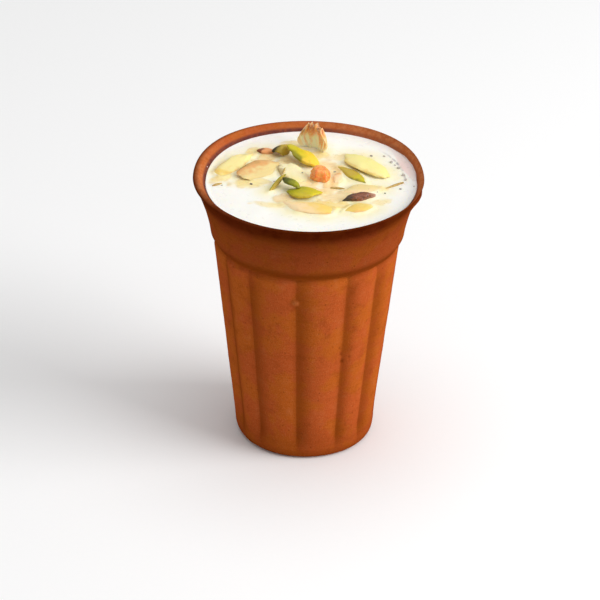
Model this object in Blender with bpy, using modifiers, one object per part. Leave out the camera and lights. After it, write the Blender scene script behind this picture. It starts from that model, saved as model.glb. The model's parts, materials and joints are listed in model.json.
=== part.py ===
"""Clay cup of lassi: a fluted terracotta cup filled with lassi, under a nut and fruit garnish.

The origin is the centre of the foot, +Z is up and +X is to the right of a drinker at -Y.
The turned body is a screwed profile whose wall is then pressed into flutes. The lassi is a
second turned solid, cut round every piece of garnish that floats in it.
"""
from collections import namedtuple
from math import cos, pi, radians, sin, sqrt

import bmesh
import bpy
from mathutils import Euler, Matrix, Vector, noise

MM = 0.001

# The cup's outer form: foot, tapering fluted body, crease, and a collar that flares to the rim.
HEIGHT = 108.0 * MM
RIM_RADIUS = 42.8 * MM
FOOT_RADIUS = 26.6 * MM
FOOT_ROUNDING = 5.0 * MM
FOOT_TUCK = 0.5
CREASE_Z = 83.0 * MM
CREASE_RADIUS = 35.3 * MM
CREASE_DEPTH = 0.8 * MM
CREASE_REACH = 2.4 * MM
COLLAR_STEP = 0.8 * MM
COLLAR_STEP_HEIGHT = 1.6 * MM
COLLAR_FLARE_POWER = 1.6
LIP_ROUNDING = 0.7 * MM
LIP_START = radians(150.0)

# Its inside: a thrown wall, a floor, and a mouth that opens out above the drink.
WALL = 4.1 * MM
FLOOR_Z = 7.0 * MM
FLOOR_ROUNDING = 6.0 * MM
LEVEL_Z = 104.7 * MM
LEVEL_RADIUS = 39.2 * MM
MOUTH_Z = LEVEL_Z - 8.0 * MM
BORE_SHIFT = 1.1 * MM
BORE_SHIFT_START_Z = 80.0 * MM

# Twelve pressed flutes; their grooves wander a little, as a hand-made mould leaves them.
FLUTES = 12
FLUTE_DEPTH = 1.5 * MM
FLUTE_ROUNDNESS = 0.85
FIRST_GROOVE = radians(-6.3)
GROOVE_WANDER = (0.0, radians(3.0), radians(-3.0))
FLUTE_FADE = 9.0 * MM
FLUTE_TOP_SHARE = 0.5
FLUTE_FOOT_FADE = 12.0 * MM

# The rim rolls outwards on the far right, where the potter's finger pressed it over.
ROLL_DEPTH = 2.4 * MM
ROLL_BOTTOM_Z = 98.9 * MM
ROLL_PEAK_Z = 101.2 * MM
ROLL_START = radians(70.0)
ROLL_FULL = radians(90.0)
ROLL_END = radians(170.0)
ROLL_TAIL = radians(45.0)

# The mouth is a little out of round: it bulges at the back left and the back right.
SWELL = 1.3 * MM
SWELL_BACK_SHARE = 1.0

COLUMNS = FLUTES * 9
COLLAR_ROWS = 7
BODY_ROWS = 5
INSIDE_ROWS = 3
CORNER_STEPS = 4
GAP = 0.3 * MM

# A slice is a flattened, tapered round: its middle, its sizes and how it lies in the drink.
# rise is the height of its middle above the drink, pitch lifts its far end, lean lifts its left
# edge, point narrows its far end, and bend and curl arch it along and across.
Slice = namedtuple("Slice", "name x y length width thick heading rise pitch lean point bend curl "
                   "colour", defaults=(None,))

SLICES = (
    Slice("almond_slice_left", -27.9, 12.9, 23.0, 8.4, 1.3, 56, 0.3, 2, 3, 0.25, 0.5, 0.2,
          (0.95, 0.80, 0.38)),
    Slice("tan_flake_left", -18.3, 8.8, 20.5, 10.6, 1.1, 45, 0.8, -2, 8, 0.20, 0.3, 0.2,
          (0.93, 0.70, 0.40)),
    Slice("orange_sliver", -16.2, 23.5, 6.4, 3.8, 1.6, -14, 0.7, 6, 0, 0.30, 0.2, 0.2,
          (0.80, 0.36, 0.14)),
    Slice("dark_pistachio_curl", -10.1, 22.5, 7.4, 5.4, 1.2, 30, 1.7, 4, 6, 0.20, 0.6, 2.6,
          (0.20, 0.17, 0.05)),
    Slice("long_pistachio_slice", -1.4, 16.2, 17.2, 9.0, 1.6, -40, 2.3, -16, -12, 0.45, 0.9, 0.4,
          (0.55, 0.52, 0.10)),
    Slice("candied_orange_piece", 4.6, 3.4, 7.8, 7.6, 6.2, 20, 1.8, 0, 0, 0.10, 0.0, 0.0,
          (0.95, 0.42, 0.10)),
    Slice("cream_flake_centre", -5.6, 6.6, 16.5, 9.6, 1.2, -66, 0.6, -4, 2, 0.15, 0.4, 0.3,
          (0.95, 0.86, 0.62)),
    Slice("dark_green_slice", -6.2, -4.6, 7.6, 5.6, 1.6, -40, 2.8, -6, -14, 0.20, 0.6, 0.6,
          (0.16, 0.19, 0.04)),
    Slice("front_pistachio_slice", -1.2, -8.6, 13.2, 10.0, 1.6, -4, 0.9, 2, -8, 0.15, 0.6, 0.4,
          (0.50, 0.48, 0.08)),
    Slice("green_sliver", -11.5, -2.6, 11.4, 1.9, 1.3, 58, 1.5, 15, 0, 0.35, 0.5, 0.0,
          (0.40, 0.40, 0.12)),
    Slice("almond_slice_right", 21.6, 13.4, 22.5, 11.0, 1.4, -50, 0.8, 1, -6, 0.15, 0.6, 0.4,
          (0.93, 0.84, 0.42)),
    Slice("right_pistachio_slice", 16.6, 7.0, 17.6, 6.2, 1.6, -52, -0.2, 1, -5, 0.25, 0.3, 0.3,
          (0.42, 0.40, 0.07)),
    Slice("peach_flake_middle", 11.1, 3.8, 9.6, 3.8, 1.1, 84, 0.2, 0, 4, 0.15, 0.3, 0.2,
          (0.96, 0.74, 0.48)),
    Slice("peach_flake_right", 19.8, -4.6, 14.4, 7.0, 1.1, 14, 0.2, 1, 3, 0.15, 0.3, 0.3,
          (0.95, 0.78, 0.54)),
    Slice("raisin", 19.0, -11.6, 13.6, 3.8, 2.8, 17, 0.8, 2, 0, 0.80, 0.5, 0.0,
          (0.24, 0.10, 0.07)),
    Slice("front_yellow_flake", 0.9, -19.0, 21.0, 9.2, 1.2, -15, 0.2, -1, -3, 0.15, 0.4, 0.3,
          (0.95, 0.80, 0.42)),
    Slice("front_right_yellow_flake", 18.4, -18.6, 12.6, 6.4, 1.2, 30, 0.1, 2, -4, 0.15, 0.4, 0.2,
          (0.95, 0.78, 0.40)),
)

# Thin strands of saffron that lie on the drink and are part of its surface.
STRANDS = (
    Slice("strand_right", 31.6, -1.0, 9.6, 1.0, 1.0, 36, 0.15, 0, 0, 0.5, 0.2, 0.0),
    Slice("strand_middle", 10.6, -3.4, 6.0, 0.9, 0.9, -4, 0.1, 0, 0, 0.5, 0.2, 0.0),
    Slice("strand_left", -33.6, -1.8, 4.6, 0.9, 0.9, 32, 0.1, 0, 0, 0.5, 0.1, 0.0),
)
SLICE_SEGMENTS = 14
SLICE_RINGS = 6
STRAND_SEGMENTS = 10
STRAND_RINGS = 5
SLICE_FLATNESS = 0.55
NEAR_POINT_SHARE = 0.35
OUTLINE_WANDER = 0.14
OUTLINE_WANDER_PACE = 2.1

# The standing shard of clotted cream: a ridged sheet, folded round and ragged along its top.
SHARD_PLACE = (2.5 * MM, 27.9 * MM)
SHARD_WIDTH = 6.4 * MM
SHARD_BELLY = 5.8 * MM
SHARD_BELLY_POWER = 0.85
SHARD_HEIGHT = 10.4 * MM
SHARD_SUNK = 1.6 * MM
SHARD_THICK = 1.3 * MM
SHARD_LEAN = radians(2.0)
SHARD_HEADING = radians(-30.0)
SHARD_FOLD = 2.2 * MM
SHARD_RIDGE = 0.9 * MM
SHARD_RIDGES = 5.0
SHARD_SLANT = 2.0
SHARD_COLUMNS = 16
SHARD_ROWS = 7
SHARD_RAGGED = 2.2 * MM
SHARD_RAGGED_PACE = 2.7
SHARD_EDGE_THINNING = 0.85
SHARD_SIDE_SHIFT = 0.2
SHARD_SHOULDER = 1.6 * MM

CLAY = ((0.42, 0.14, 0.05), 0.85)
CURD = ((0.93, 0.90, 0.80), 0.35)
CREAM = ((0.93, 0.72, 0.45), 0.5)
SLICE_ROUGHNESS = 0.45


def clear_scene():
    """Remove every object, so that the model starts from nothing."""
    for item in list(bpy.data.objects):
        bpy.data.objects.remove(item, do_unlink=True)


def make_collection(name):
    """A new collection in the scene."""
    collection = bpy.data.collections.new(name)
    bpy.context.scene.collection.children.link(collection)
    return collection


def make_material(name, colour, roughness):
    """One Principled finish."""
    material = bpy.data.materials.new(name)
    material.use_nodes = True
    shader = material.node_tree.nodes["Principled BSDF"]
    shader.inputs["Base Color"].default_value = (*colour, 1.0)
    shader.inputs["Roughness"].default_value = roughness
    return material


def smooth(mesh, crease=40.0):
    """Shade a mesh smooth, with the edges sharper than the crease angle left hard."""
    mesh.shade_smooth()
    mesh.set_sharp_from_angle(angle=radians(crease))


def ease(value):
    """Smooth step from 0 to 1."""
    value = min(max(value, 0.0), 1.0)
    return value * value * (3.0 - 2.0 * value)


def between(low, high, count):
    """Evenly spaced values, both ends included."""
    return [low + (high - low) * i / (count - 1) for i in range(count)]


# The turned profiles

def body_radius(z):
    """The plain taper of the body, from the top of the foot's rounding to the crease."""
    share = max((z - FOOT_ROUNDING) / (CREASE_Z - FOOT_ROUNDING), 0.0)
    return FOOT_RADIUS + (CREASE_RADIUS - FOOT_RADIUS) * share


def outer_radius(z):
    """The outside of the cup at height z, before the flutes are pressed in."""
    crease = CREASE_DEPTH * ease(1.0 - abs(z - CREASE_Z) / CREASE_REACH)
    if z <= CREASE_Z:
        drop = max(1.0 - z / FOOT_ROUNDING, 0.0)
        tuck = FOOT_ROUNDING * FOOT_TUCK * (1.0 - sqrt(max(0.0, 1.0 - drop * drop)))
        return body_radius(z) - tuck - crease
    step = COLLAR_STEP * ease((z - CREASE_Z) / COLLAR_STEP_HEIGHT)
    share = (z - CREASE_Z) / (HEIGHT - CREASE_Z)
    flare = (RIM_RADIUS - CREASE_RADIUS - COLLAR_STEP) * share ** COLLAR_FLARE_POWER
    return CREASE_RADIUS + step + flare - crease


def inner_radius(z):
    """The inside of the cup at height z."""
    if z >= LEVEL_Z:
        lip = RIM_RADIUS - 2.0 * LIP_ROUNDING
        return LEVEL_RADIUS + (lip - LEVEL_RADIUS) * (z - LEVEL_Z) / (HEIGHT - LEVEL_Z)
    mouth = outer_radius(MOUTH_Z) - WALL
    if z > MOUTH_Z:
        return mouth + (LEVEL_RADIUS - mouth) * (z - MOUTH_Z) / (LEVEL_Z - MOUTH_Z)
    wall = body_radius(min(z, CREASE_Z)) - WALL
    if z > CREASE_Z:
        return wall + (mouth - wall) * (z - CREASE_Z) / (MOUTH_Z - CREASE_Z)
    rise = 1.0 - min((z - FLOOR_Z) / FLOOR_ROUNDING, 1.0)
    return wall - FLOOR_ROUNDING * (1.0 - sqrt(max(0.0, 1.0 - rise * rise)))


def inside_profile(low, high, inset):
    """Points up the inside wall, from the middle of the floor to a height, set in by a gap."""
    turn = [low + FLOOR_ROUNDING * (1.0 - cos(bend))
            for bend in between(0.0, pi / 2.0, CORNER_STEPS)]
    wall = between(low + FLOOR_ROUNDING, CREASE_Z, INSIDE_ROWS)[1:] + [MOUTH_Z]
    points = [(0.0, low)]
    points += [(inner_radius(z + FLOOR_Z - low) - inset, z) for z in turn]
    points += [(inner_radius(z) - inset, z) for z in wall]
    points += [(inner_radius(z) - inset, z) for z in ((MOUTH_Z + LEVEL_Z) / 2.0, high)]
    return points


def lip_profile():
    """The rounded lip, from its inner edge over the top to its outer edge."""
    centre = RIM_RADIUS - LIP_ROUNDING
    return [(centre + LIP_ROUNDING * cos(turn), HEIGHT - LIP_ROUNDING + LIP_ROUNDING * sin(turn))
            for turn in between(LIP_START, 0.0, CORNER_STEPS)]


def outside_heights():
    """Heights down the outside: the collar, its step, the body and the rounded foot."""
    collar = between(HEIGHT - 2.0 * LIP_ROUNDING, CREASE_Z + CREASE_REACH, COLLAR_ROWS)
    step = [CREASE_Z + COLLAR_STEP_HEIGHT * share for share in (0.8, 0.4, 0.0)]
    body = [CREASE_Z - CREASE_REACH * share for share in (0.5, 1.0)] + [CREASE_Z - FLUTE_FADE]
    taper = between(CREASE_Z - FLUTE_FADE, FLUTE_FOOT_FADE, BODY_ROWS)[1:]
    foot = [FOOT_ROUNDING * share for share in (1.0, 0.55, 0.2, 0.0)]
    return collar + step + body + taper + foot


def turned(name, profile, columns):
    """Turn a profile of (radius, height) points about the Z axis with a Screw modifier."""
    mesh = bpy.data.meshes.new(name)
    edges = [(i, i + 1) for i in range(len(profile) - 1)]
    mesh.from_pydata([(r, 0.0, z) for r, z in profile], edges, [])
    item = bpy.data.objects.new(name, mesh)
    bpy.context.scene.collection.objects.link(item)
    screw = item.modifiers.new("turn", "SCREW")
    screw.angle = 2.0 * pi
    screw.steps = columns
    screw.render_steps = columns
    screw.use_merge_vertices = True
    screw.merge_threshold = 0.00001
    return baked(item)


def baked(item):
    """Replace an object's mesh by its evaluated mesh, and drop its modifiers."""
    evaluated = item.evaluated_get(bpy.context.evaluated_depsgraph_get())
    mesh = bpy.data.meshes.new_from_object(evaluated)
    item.modifiers.clear()
    item.data = mesh
    return item


# The hand-made unevenness

def groove_angle(index):
    """The bearing of one groove, measured from -Y towards +X."""
    wander = GROOVE_WANDER[index % len(GROOVE_WANDER)]
    return FIRST_GROOVE + index * 2.0 * pi / FLUTES + wander


def flute_place(column_angle):
    """A turned column's share along its flute (0 and 1 at the grooves), and its true bearing."""
    place = column_angle / (2.0 * pi) * FLUTES
    index = int(place + 1e-6)
    share = max(place - index, 0.0)
    start, end = groove_angle(index), groove_angle(index + 1)
    return share, start + (end - start) * share


def flute_inset(share, z):
    """How far the outside wall is pressed in."""
    if z > CREASE_Z:
        return 0.0
    hollow = 1.0 - sin(pi * share) ** FLUTE_ROUNDNESS if 0.0 < share < 1.0 else 1.0
    top = FLUTE_TOP_SHARE + (1.0 - FLUTE_TOP_SHARE) * ease((CREASE_Z - z) / FLUTE_FADE)
    return FLUTE_DEPTH * hollow * top * ease(z / FLUTE_FOOT_FADE)


def rim_roll(bearing, z):
    """How far the rolled part of the rim stands out from the flare."""
    bearing %= 2.0 * pi
    around = ease((bearing - ROLL_START) / (ROLL_FULL - ROLL_START))
    around *= ease((ROLL_END - bearing) / ROLL_TAIL)
    if z < ROLL_PEAK_Z:
        height = ease((z - ROLL_BOTTOM_Z) / (ROLL_PEAK_Z - ROLL_BOTTOM_Z))
    else:
        height = (HEIGHT - z) / (HEIGHT - ROLL_PEAK_Z)
    return ROLL_DEPTH * around * max(height, 0.0)


def mouth_swell(bearing, z):
    """How far the collar and the mouth bulge out, on both sides of the back."""
    if cos(bearing) > 0.0:
        return 0.0
    around = sin(2.0 * bearing) ** 2 + SWELL_BACK_SHARE * cos(bearing) ** 2
    return SWELL * around * ease((z - CREASE_Z) / (HEIGHT - CREASE_Z))


def bore_offset(z):
    """Sideways shift of the inside, which was thrown a little off the cup's centre."""
    return BORE_SHIFT * ease((z - BORE_SHIFT_START_Z) / (LEVEL_Z - BORE_SHIFT_START_Z))


def press_wall(mesh, is_outside):
    """Move a turned wall's points to their true bearings, flutes, roll and off-centre bore."""
    for vertex in mesh.vertices:
        x, y, z = vertex.co
        radius = sqrt(x * x + y * y)
        if radius < 1e-7:
            continue
        column_angle = Vector((x, y)).angle_signed(Vector((0.0, -1.0))) % (2.0 * pi)
        share, bearing = flute_place(column_angle)
        shift = 0.0
        if is_outside(radius, z):
            radius += rim_roll(bearing, z) - flute_inset(share, z)
        else:
            shift = bore_offset(z)
        radius += mouth_swell(bearing, z)
        vertex.co = (radius * sin(bearing) + shift, -radius * cos(bearing), z)


# The pieces

def place(item, collection, material=None):
    """Put an object in its collection alone, with its finish and smooth shading."""
    for old in list(item.users_collection):
        old.objects.unlink(item)
    collection.objects.link(item)
    if material is not None:
        item.data.materials.clear()
        item.data.materials.append(material)
    smooth(item.data)


def make_cup(collection):
    """The terracotta cup: turned, fluted, rolled at the rim, hollow inside."""
    profile = inside_profile(FLOOR_Z, LEVEL_Z, 0.0) + lip_profile()
    profile += [(outer_radius(z), z) for z in outside_heights()] + [(0.0, 0.0)]
    cup = turned("clay_cup", profile, COLUMNS)

    def is_outside(radius, z):
        if z < FLOOR_Z - GAP:
            return True
        return radius > (outer_radius(z) + inner_radius(z)) / 2.0

    press_wall(cup.data, is_outside)
    place(cup, collection, make_material("terracotta", *CLAY))


def slice_matrix(spec):
    """Where a slice lies: its place on the drink, its bearing and its tilt."""
    turn = Euler((radians(spec.lean), radians(-spec.pitch), radians(spec.heading)), "XYZ")
    middle = Vector((spec.x * MM, spec.y * MM, LEVEL_Z + spec.rise * MM))
    return Matrix.Translation(middle) @ turn.to_matrix().to_4x4()


def slice_object(spec, name, segments, rings, grow=0.0):
    """A round, flattened to a slice with soft edges, tapered to a point and bent."""
    bm = bmesh.new()
    bmesh.ops.create_uvsphere(bm, u_segments=segments, v_segments=rings, radius=1.0)
    for vertex in bm.verts:
        x, y, z = vertex.co
        around = sqrt(x * x + y * y)
        spread = around ** SLICE_FLATNESS / around if around > 1e-6 else 0.0
        x, y = x * spread, y * spread
        narrow = 1.0 - spec.point * (ease(x) + NEAR_POINT_SHARE * ease(-x))
        arch = spec.bend * MM * (0.5 - x * x) + spec.curl * MM * (0.5 - y * y)
        pace = OUTLINE_WANDER_PACE
        wander = 1.0 + OUTLINE_WANDER * noise.noise(Vector((x * pace, y * pace, spec.x + z)))
        vertex.co = (x * (spec.length * MM / 2 * wander + grow),
                     y * (spec.width * MM / 2 * narrow * wander + grow),
                     z * (spec.thick * MM / 2 + grow) + arch)
    mesh = bpy.data.meshes.new(name)
    bm.to_mesh(mesh)
    bm.free()
    mesh.transform(slice_matrix(spec))
    return bpy.data.objects.new(name, mesh)


def shard_point(across, up, side, grow):
    """A point on one side of the shard, by its shares across the sheet and up it."""
    low = -SHARD_SUNK - grow
    half = (SHARD_WIDTH + SHARD_BELLY * sin(pi * up ** SHARD_BELLY_POWER)) / 2.0
    place = Vector((across * SHARD_RAGGED_PACE, 0.0, side * SHARD_SIDE_SHIFT))
    ragged = SHARD_RAGGED * noise.noise(place)
    height = low + (SHARD_HEIGHT + ragged - SHARD_SHOULDER * across ** 2 - low) * up
    ridge = 0.5 - 0.5 * cos(SHARD_RIDGES * pi * across + SHARD_SLANT * up + side)
    edge = sqrt(1.0 - SHARD_EDGE_THINNING * across ** 2)
    thick = (SHARD_THICK / 2.0 + SHARD_RIDGE * ridge * up) * edge + grow
    x = across * (half + grow)
    return x, side * thick - SHARD_FOLD * (x / half) ** 2, height


def shard_object(name, grow=0.0):
    """The standing shard: two ridged sides joined round their edge."""
    bm = bmesh.new()
    sides = []
    for side in (-1.0, 1.0):
        rows = [[bm.verts.new(shard_point(across, up, side, grow))
                 for across in between(-1.0, 1.0, SHARD_COLUMNS)]
                for up in between(0.0, 1.0, SHARD_ROWS)]
        sides.append(rows)
        for low, high in zip(rows, rows[1:]):
            for i in range(SHARD_COLUMNS - 1):
                bm.faces.new((low[i], low[i + 1], high[i + 1], high[i]))
    rims = []
    for rows in sides:
        rims.append(rows[0] + [row[-1] for row in rows[1:-1]] + rows[-1][::-1]
                    + [row[0] for row in rows[-2:0:-1]])
    for i in range(len(rims[0])):
        bm.faces.new((rims[0][i - 1], rims[0][i], rims[1][i], rims[1][i - 1]))
    bmesh.ops.recalc_face_normals(bm, faces=bm.faces)
    mesh = bpy.data.meshes.new(name)
    bm.to_mesh(mesh)
    bm.free()
    turn = Euler((SHARD_LEAN, 0.0, SHARD_HEADING), "XYZ").to_matrix().to_4x4()
    mesh.transform(Matrix.Translation((*SHARD_PLACE, LEVEL_Z)) @ turn)
    return bpy.data.objects.new(name, mesh)


def make_garnish(collection):
    """Every loose piece of garnish."""
    for spec in SLICES:
        item = slice_object(spec, spec.name, SLICE_SEGMENTS, SLICE_RINGS)
        place(item, collection, make_material(spec.name, spec.colour, SLICE_ROUGHNESS))
    shard = shard_object("cream_shard")
    place(shard, collection, make_material("cream_shard", *CREAM))


def join_in(target, items, operation):
    """Cut a collection of shapes from a target, or fuse them to it, and remove them."""
    tools = make_collection(f"{operation.lower()} tools")
    for item in items:
        place(item, tools)
        item.hide_render = True
        item.display_type = "WIRE"
    boolean = target.modifiers.new(operation.lower(), "BOOLEAN")
    boolean.operation = operation
    boolean.operand_type = "COLLECTION"
    boolean.collection = tools
    boolean.solver = "EXACT"
    bpy.context.view_layer.update()
    baked(target)
    for item in list(tools.objects):
        bpy.data.objects.remove(item, do_unlink=True)
    bpy.data.collections.remove(tools)


def make_lassi(collection):
    """The drink: a turned solid inside the cup, cut round the garnish, with its strands."""
    lassi = turned("lassi", inside_profile(FLOOR_Z + GAP, LEVEL_Z, GAP) + [(0.0, LEVEL_Z)],
                   COLUMNS // 2)
    press_wall(lassi.data, lambda radius, z: False)
    place(lassi, collection, make_material("lassi", *CURD))
    strands = [slice_object(spec, spec.name, STRAND_SEGMENTS, STRAND_RINGS) for spec in STRANDS]
    join_in(lassi, strands, "UNION")
    room = [slice_object(spec, spec.name + "_room", SLICE_SEGMENTS, SLICE_RINGS, GAP)
            for spec in SLICES]
    room.append(shard_object("shard_room", GAP))
    join_in(lassi, room, "DIFFERENCE")
    smooth(lassi.data)


def main():
    """Build the whole cup of lassi."""
    clear_scene()
    collection = make_collection("clay cup of lassi")
    make_cup(collection)
    make_lassi(collection)
    make_garnish(collection)


main()
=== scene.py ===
"""Dresses a clay cup of lassi: fine forms, finishes and a small studio.

The cup, the drink and every piece of garnish get a detailed mesh in the place of the plain
solid, and a procedural finish. Bearings run from -Y towards +X, and heights from the foot.
"""
import json
from collections import namedtuple
from math import cos, pi, radians, sin

import bpy
import numpy as np
from bpy.props import FloatProperty, FloatVectorProperty, PointerProperty
from mathutils import Euler, Matrix, Vector, noise
from mathutils.bvhtree import BVHTree

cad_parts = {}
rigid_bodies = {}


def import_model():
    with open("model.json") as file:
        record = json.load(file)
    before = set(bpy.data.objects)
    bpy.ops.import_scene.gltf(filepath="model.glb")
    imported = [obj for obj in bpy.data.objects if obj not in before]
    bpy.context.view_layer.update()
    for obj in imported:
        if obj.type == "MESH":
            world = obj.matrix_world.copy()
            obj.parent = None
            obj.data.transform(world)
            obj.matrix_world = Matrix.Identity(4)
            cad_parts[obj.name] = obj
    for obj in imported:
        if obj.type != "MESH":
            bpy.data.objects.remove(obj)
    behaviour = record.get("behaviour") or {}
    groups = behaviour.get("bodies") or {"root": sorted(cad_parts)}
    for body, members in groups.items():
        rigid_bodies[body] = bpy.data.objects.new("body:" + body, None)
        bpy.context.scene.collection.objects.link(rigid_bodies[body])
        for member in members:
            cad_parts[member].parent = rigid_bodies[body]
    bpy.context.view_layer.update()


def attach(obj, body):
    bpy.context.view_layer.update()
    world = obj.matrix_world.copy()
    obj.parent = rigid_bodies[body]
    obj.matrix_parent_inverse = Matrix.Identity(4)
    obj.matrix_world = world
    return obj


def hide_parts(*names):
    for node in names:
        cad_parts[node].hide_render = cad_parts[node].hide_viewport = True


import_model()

bl_info = {
    "name": "Clay Cup of Lassi",
    "version": (1, 0, 0),
    "blender": (4, 5, 0),
    "location": "3D View > Sidebar > Lassi",
    "description": "Dresses a clay cup of lassi and its nut and fruit garnish",
    "category": "Object",
}

MM = 0.001

# The turned cup, as the solids have it. The name of a height above the foot ends in Z.
HEIGHT = 108.0 * MM
RIM_RADIUS = 42.8 * MM
FOOT_RADIUS = 26.6 * MM
FOOT_ROUNDING = 5.0 * MM
FOOT_TUCK = 0.5
CREASE_Z = 83.0 * MM
CREASE_RADIUS = 35.3 * MM
CREASE_DEPTH = 0.8 * MM
CREASE_REACH = 2.4 * MM
COLLAR_STEP = 0.8 * MM
COLLAR_STEP_HEIGHT = 1.6 * MM
COLLAR_FLARE_POWER = 1.6
LIP_ROUNDING = 0.7 * MM
WALL = 4.1 * MM
FLOOR_Z = 7.0 * MM
FLOOR_ROUNDING = 6.0 * MM
LEVEL_Z = 104.7 * MM
LEVEL_RADIUS = 39.2 * MM
MOUTH_Z = LEVEL_Z - 8.0 * MM
BORE_SHIFT = 1.1 * MM
BORE_SHIFT_START_Z = 80.0 * MM
FLUTES = 12
FLUTE_ROUNDNESS = 0.85
FIRST_GROOVE = radians(-6.3)
GROOVE_WANDER = (0.0, radians(3.0), radians(-3.0))
FLUTE_FADE = 9.0 * MM
FLUTE_TOP_SHARE = 0.5
FLUTE_FOOT_FADE = 12.0 * MM
ROLL_DEPTH = 2.4 * MM
ROLL_BOTTOM_Z = 98.9 * MM
ROLL_PEAK_Z = 101.2 * MM
ROLL_START = radians(70.0)
ROLL_FULL = radians(90.0)
ROLL_END = radians(170.0)
ROLL_TAIL = radians(45.0)
SWELL = 1.3 * MM

# What the solids leave out: the sharp seam in the crease, the thumbed tops of the grooves and
# the rounding at their bottoms.
SEAM_DEPTH = 0.6 * MM
SEAM_REACH = 1.5 * MM
SEAM_Z = CREASE_Z + 1.7 * MM
THUMB_DEPTH = 0.8 * MM
THUMB_REACH = 7.0 * MM
GROOVE_ROUNDING = 0.16

# How far apart the wanders of the wall and the ripples of the wheel lie up the wall, how quickly
# they change round it, and how near the lip they fade out.
WANDER_HEIGHT = 22.0 * MM
WANDER_PACE = 1.7
RIPPLE_HEIGHT = 2.6 * MM
RIPPLE_PACE = 0.5
CALM_AT_LIP = 4.0 * MM

# Where painted shade darkens the clay, and by how much: on both sides of each groove, most on
# the side turned from the light (for a share of the flute's width), round the seam, in the pits
# and up from the foot. The pimple gets a painted highlight.
GROOVE_SHADE = 0.75
GROOVE_SHADE_WIDTH = 0.45
FAR_GROOVE_SHADE = 0.3
FAR_GROOVE_START = 0.86
FAR_GROOVE_WIDTH = 0.14
COLLAR_SHADE_SHARE = 0.45
SEAM_SHADE = 1.2
SEAM_SHADE_REACH = 3.6 * MM
PIT_SHADE = 0.45
PIT_SHADE_DEPTH = 0.5 * MM
FOOT_SHADE = 0.45
FOOT_SHADE_HEIGHT = 20.0 * MM
FOOT_EDGE_SHADE = 0.4
PIMPLE_HIGHLIGHT = 0.4
PIMPLE_HIGHLIGHT_HEIGHT = 0.9 * MM

# How strong the painted shade under the rim is at depths below it, and how much more at the
# front than behind. How high the dark band above the drink reaches up the wall, less on the
# right. How pale the lip inside the mouth is at bearings in degrees: partly its own colour,
# partly painted light where the wall is shaded.
RIM_SHADE_DEPTHS = (0.0, 4.0 * MM, 8.0 * MM, 13.0 * MM, 21.0 * MM, 25.5 * MM)
RIM_SHADE_SHARES = (1.0, 0.97, 0.64, 0.48, 0.40, 0.0)
RIM_SHADE_MEAN = 0.86
RIM_SHADE_FRONT = 0.14
RIM_SHADE_INSIDE = 0.95
WATERLINE = 2.0 * MM
WATERLINE_FADE = 1.0 * MM
WATERLINE_LOSS = 0.6
PALE_LIP_FADE = 0.5 * MM
PALE_LIP_BEARINGS = (0.0, 60.0, 90.0, 150.0, 180.0, 200.0, 235.0, 270.0, 300.0, 360.0)
PALE_LIP_SHARES = (0.5, 0.9, 1.0, 1.0, 0.6, 0.35, 0.35, 1.0, 1.0, 0.5)

# How finely the turned pieces and the drink are meshed.
COLUMNS_PER_FLUTE = 36
WALL_ROW = 0.8 * MM
CREASE_ROW = 0.2 * MM
FOOT_ROWS = 11
LIP_ROWS = 10
CORNER_ROWS = 8
BORE_ROW = 5.0 * MM
MOUTH_ROW = 1.6 * MM
INSIDE_ROW = 0.3 * MM
DRINK_RINGS = 120
DRINK_COLUMNS = 320
DRINK_PACKING = 1.35
FILM_ROWS = 18
FILM_COLUMNS = 480

# How the drink lies: how it swells, how far it climbs whatever it touches, how the garnish tints
# it, and the gap that it keeps from the clay out of sight.
DRINK_SWELL = 0.16 * MM
DRINK_SWELL_PACE = 9.0 * MM
DRINK_STILL_AT_WALL = 3.0 * MM
CLIMB_REACH = 2.2 * MM
TINT_POWER = 0.6
DRINK_GAP = 0.05 * MM
DRINK_EDGE_HEIGHT = 0.3 * MM

# The thin skin at the wall: a bulge on the right with a painted shadow line along its inner
# edge, and a faint skin behind.
SKIN_BEARING = radians(113.0)
SKIN_SPREAD = radians(27.0)
SKIN_WIDTH = 0.7 * MM
SKIN_BULGE = 3.6 * MM
SKIN_FADE = 0.9 * MM
SKIN_STRENGTH = 0.30
SKIN_BULGE_STRENGTH = 0.40
BACK_SKIN_SPREAD = 1.4
BACK_SKIN_WIDTH = 4.5 * MM
BACK_SKIN_STRENGTH = 0.16
EDGE_SHADOW_FROM_WALL = 4.0 * MM
EDGE_SHADOW_REACH = 0.8 * MM

# The film on the wall above the drink, highest on the right, and the drop of milk on the left.
FILM_BEARING = radians(115.0)
FILM_SPREAD = radians(35.0)
FILM_REACH = 0.1 * MM
FILM_BULGE = 0.55 * MM
FILM_FADE = 0.5 * MM
FILM_STAND = 0.10 * MM
FILM_THICK = 0.35 * MM
FILM_BELOW_LEVEL = 0.2 * MM
FILM_BELOW_RIM = 1.2 * MM
FILM_WANDER = 0.9
FILM_WANDER_PACE = 6.0
FILM_BLUSH = 0.5
DROP_BEARING = radians(255.0)
DROP_HEIGHT = 0.9 * MM
DROP_SIZE = 0.6 * MM
DROP_SWELL = 0.6
DROP_SQUASH = 1.6

# A slice is a flattened, tapered round: its middle, its sizes and how it lies in the drink.
# rise is the height of its middle above the drink, pitch lifts its far end, lean lifts its left
# edge, point narrows its far end, and bend and curl arch it along and across.
Slice = namedtuple("Slice", "name x y length width thick heading rise pitch lean point bend curl")

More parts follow.
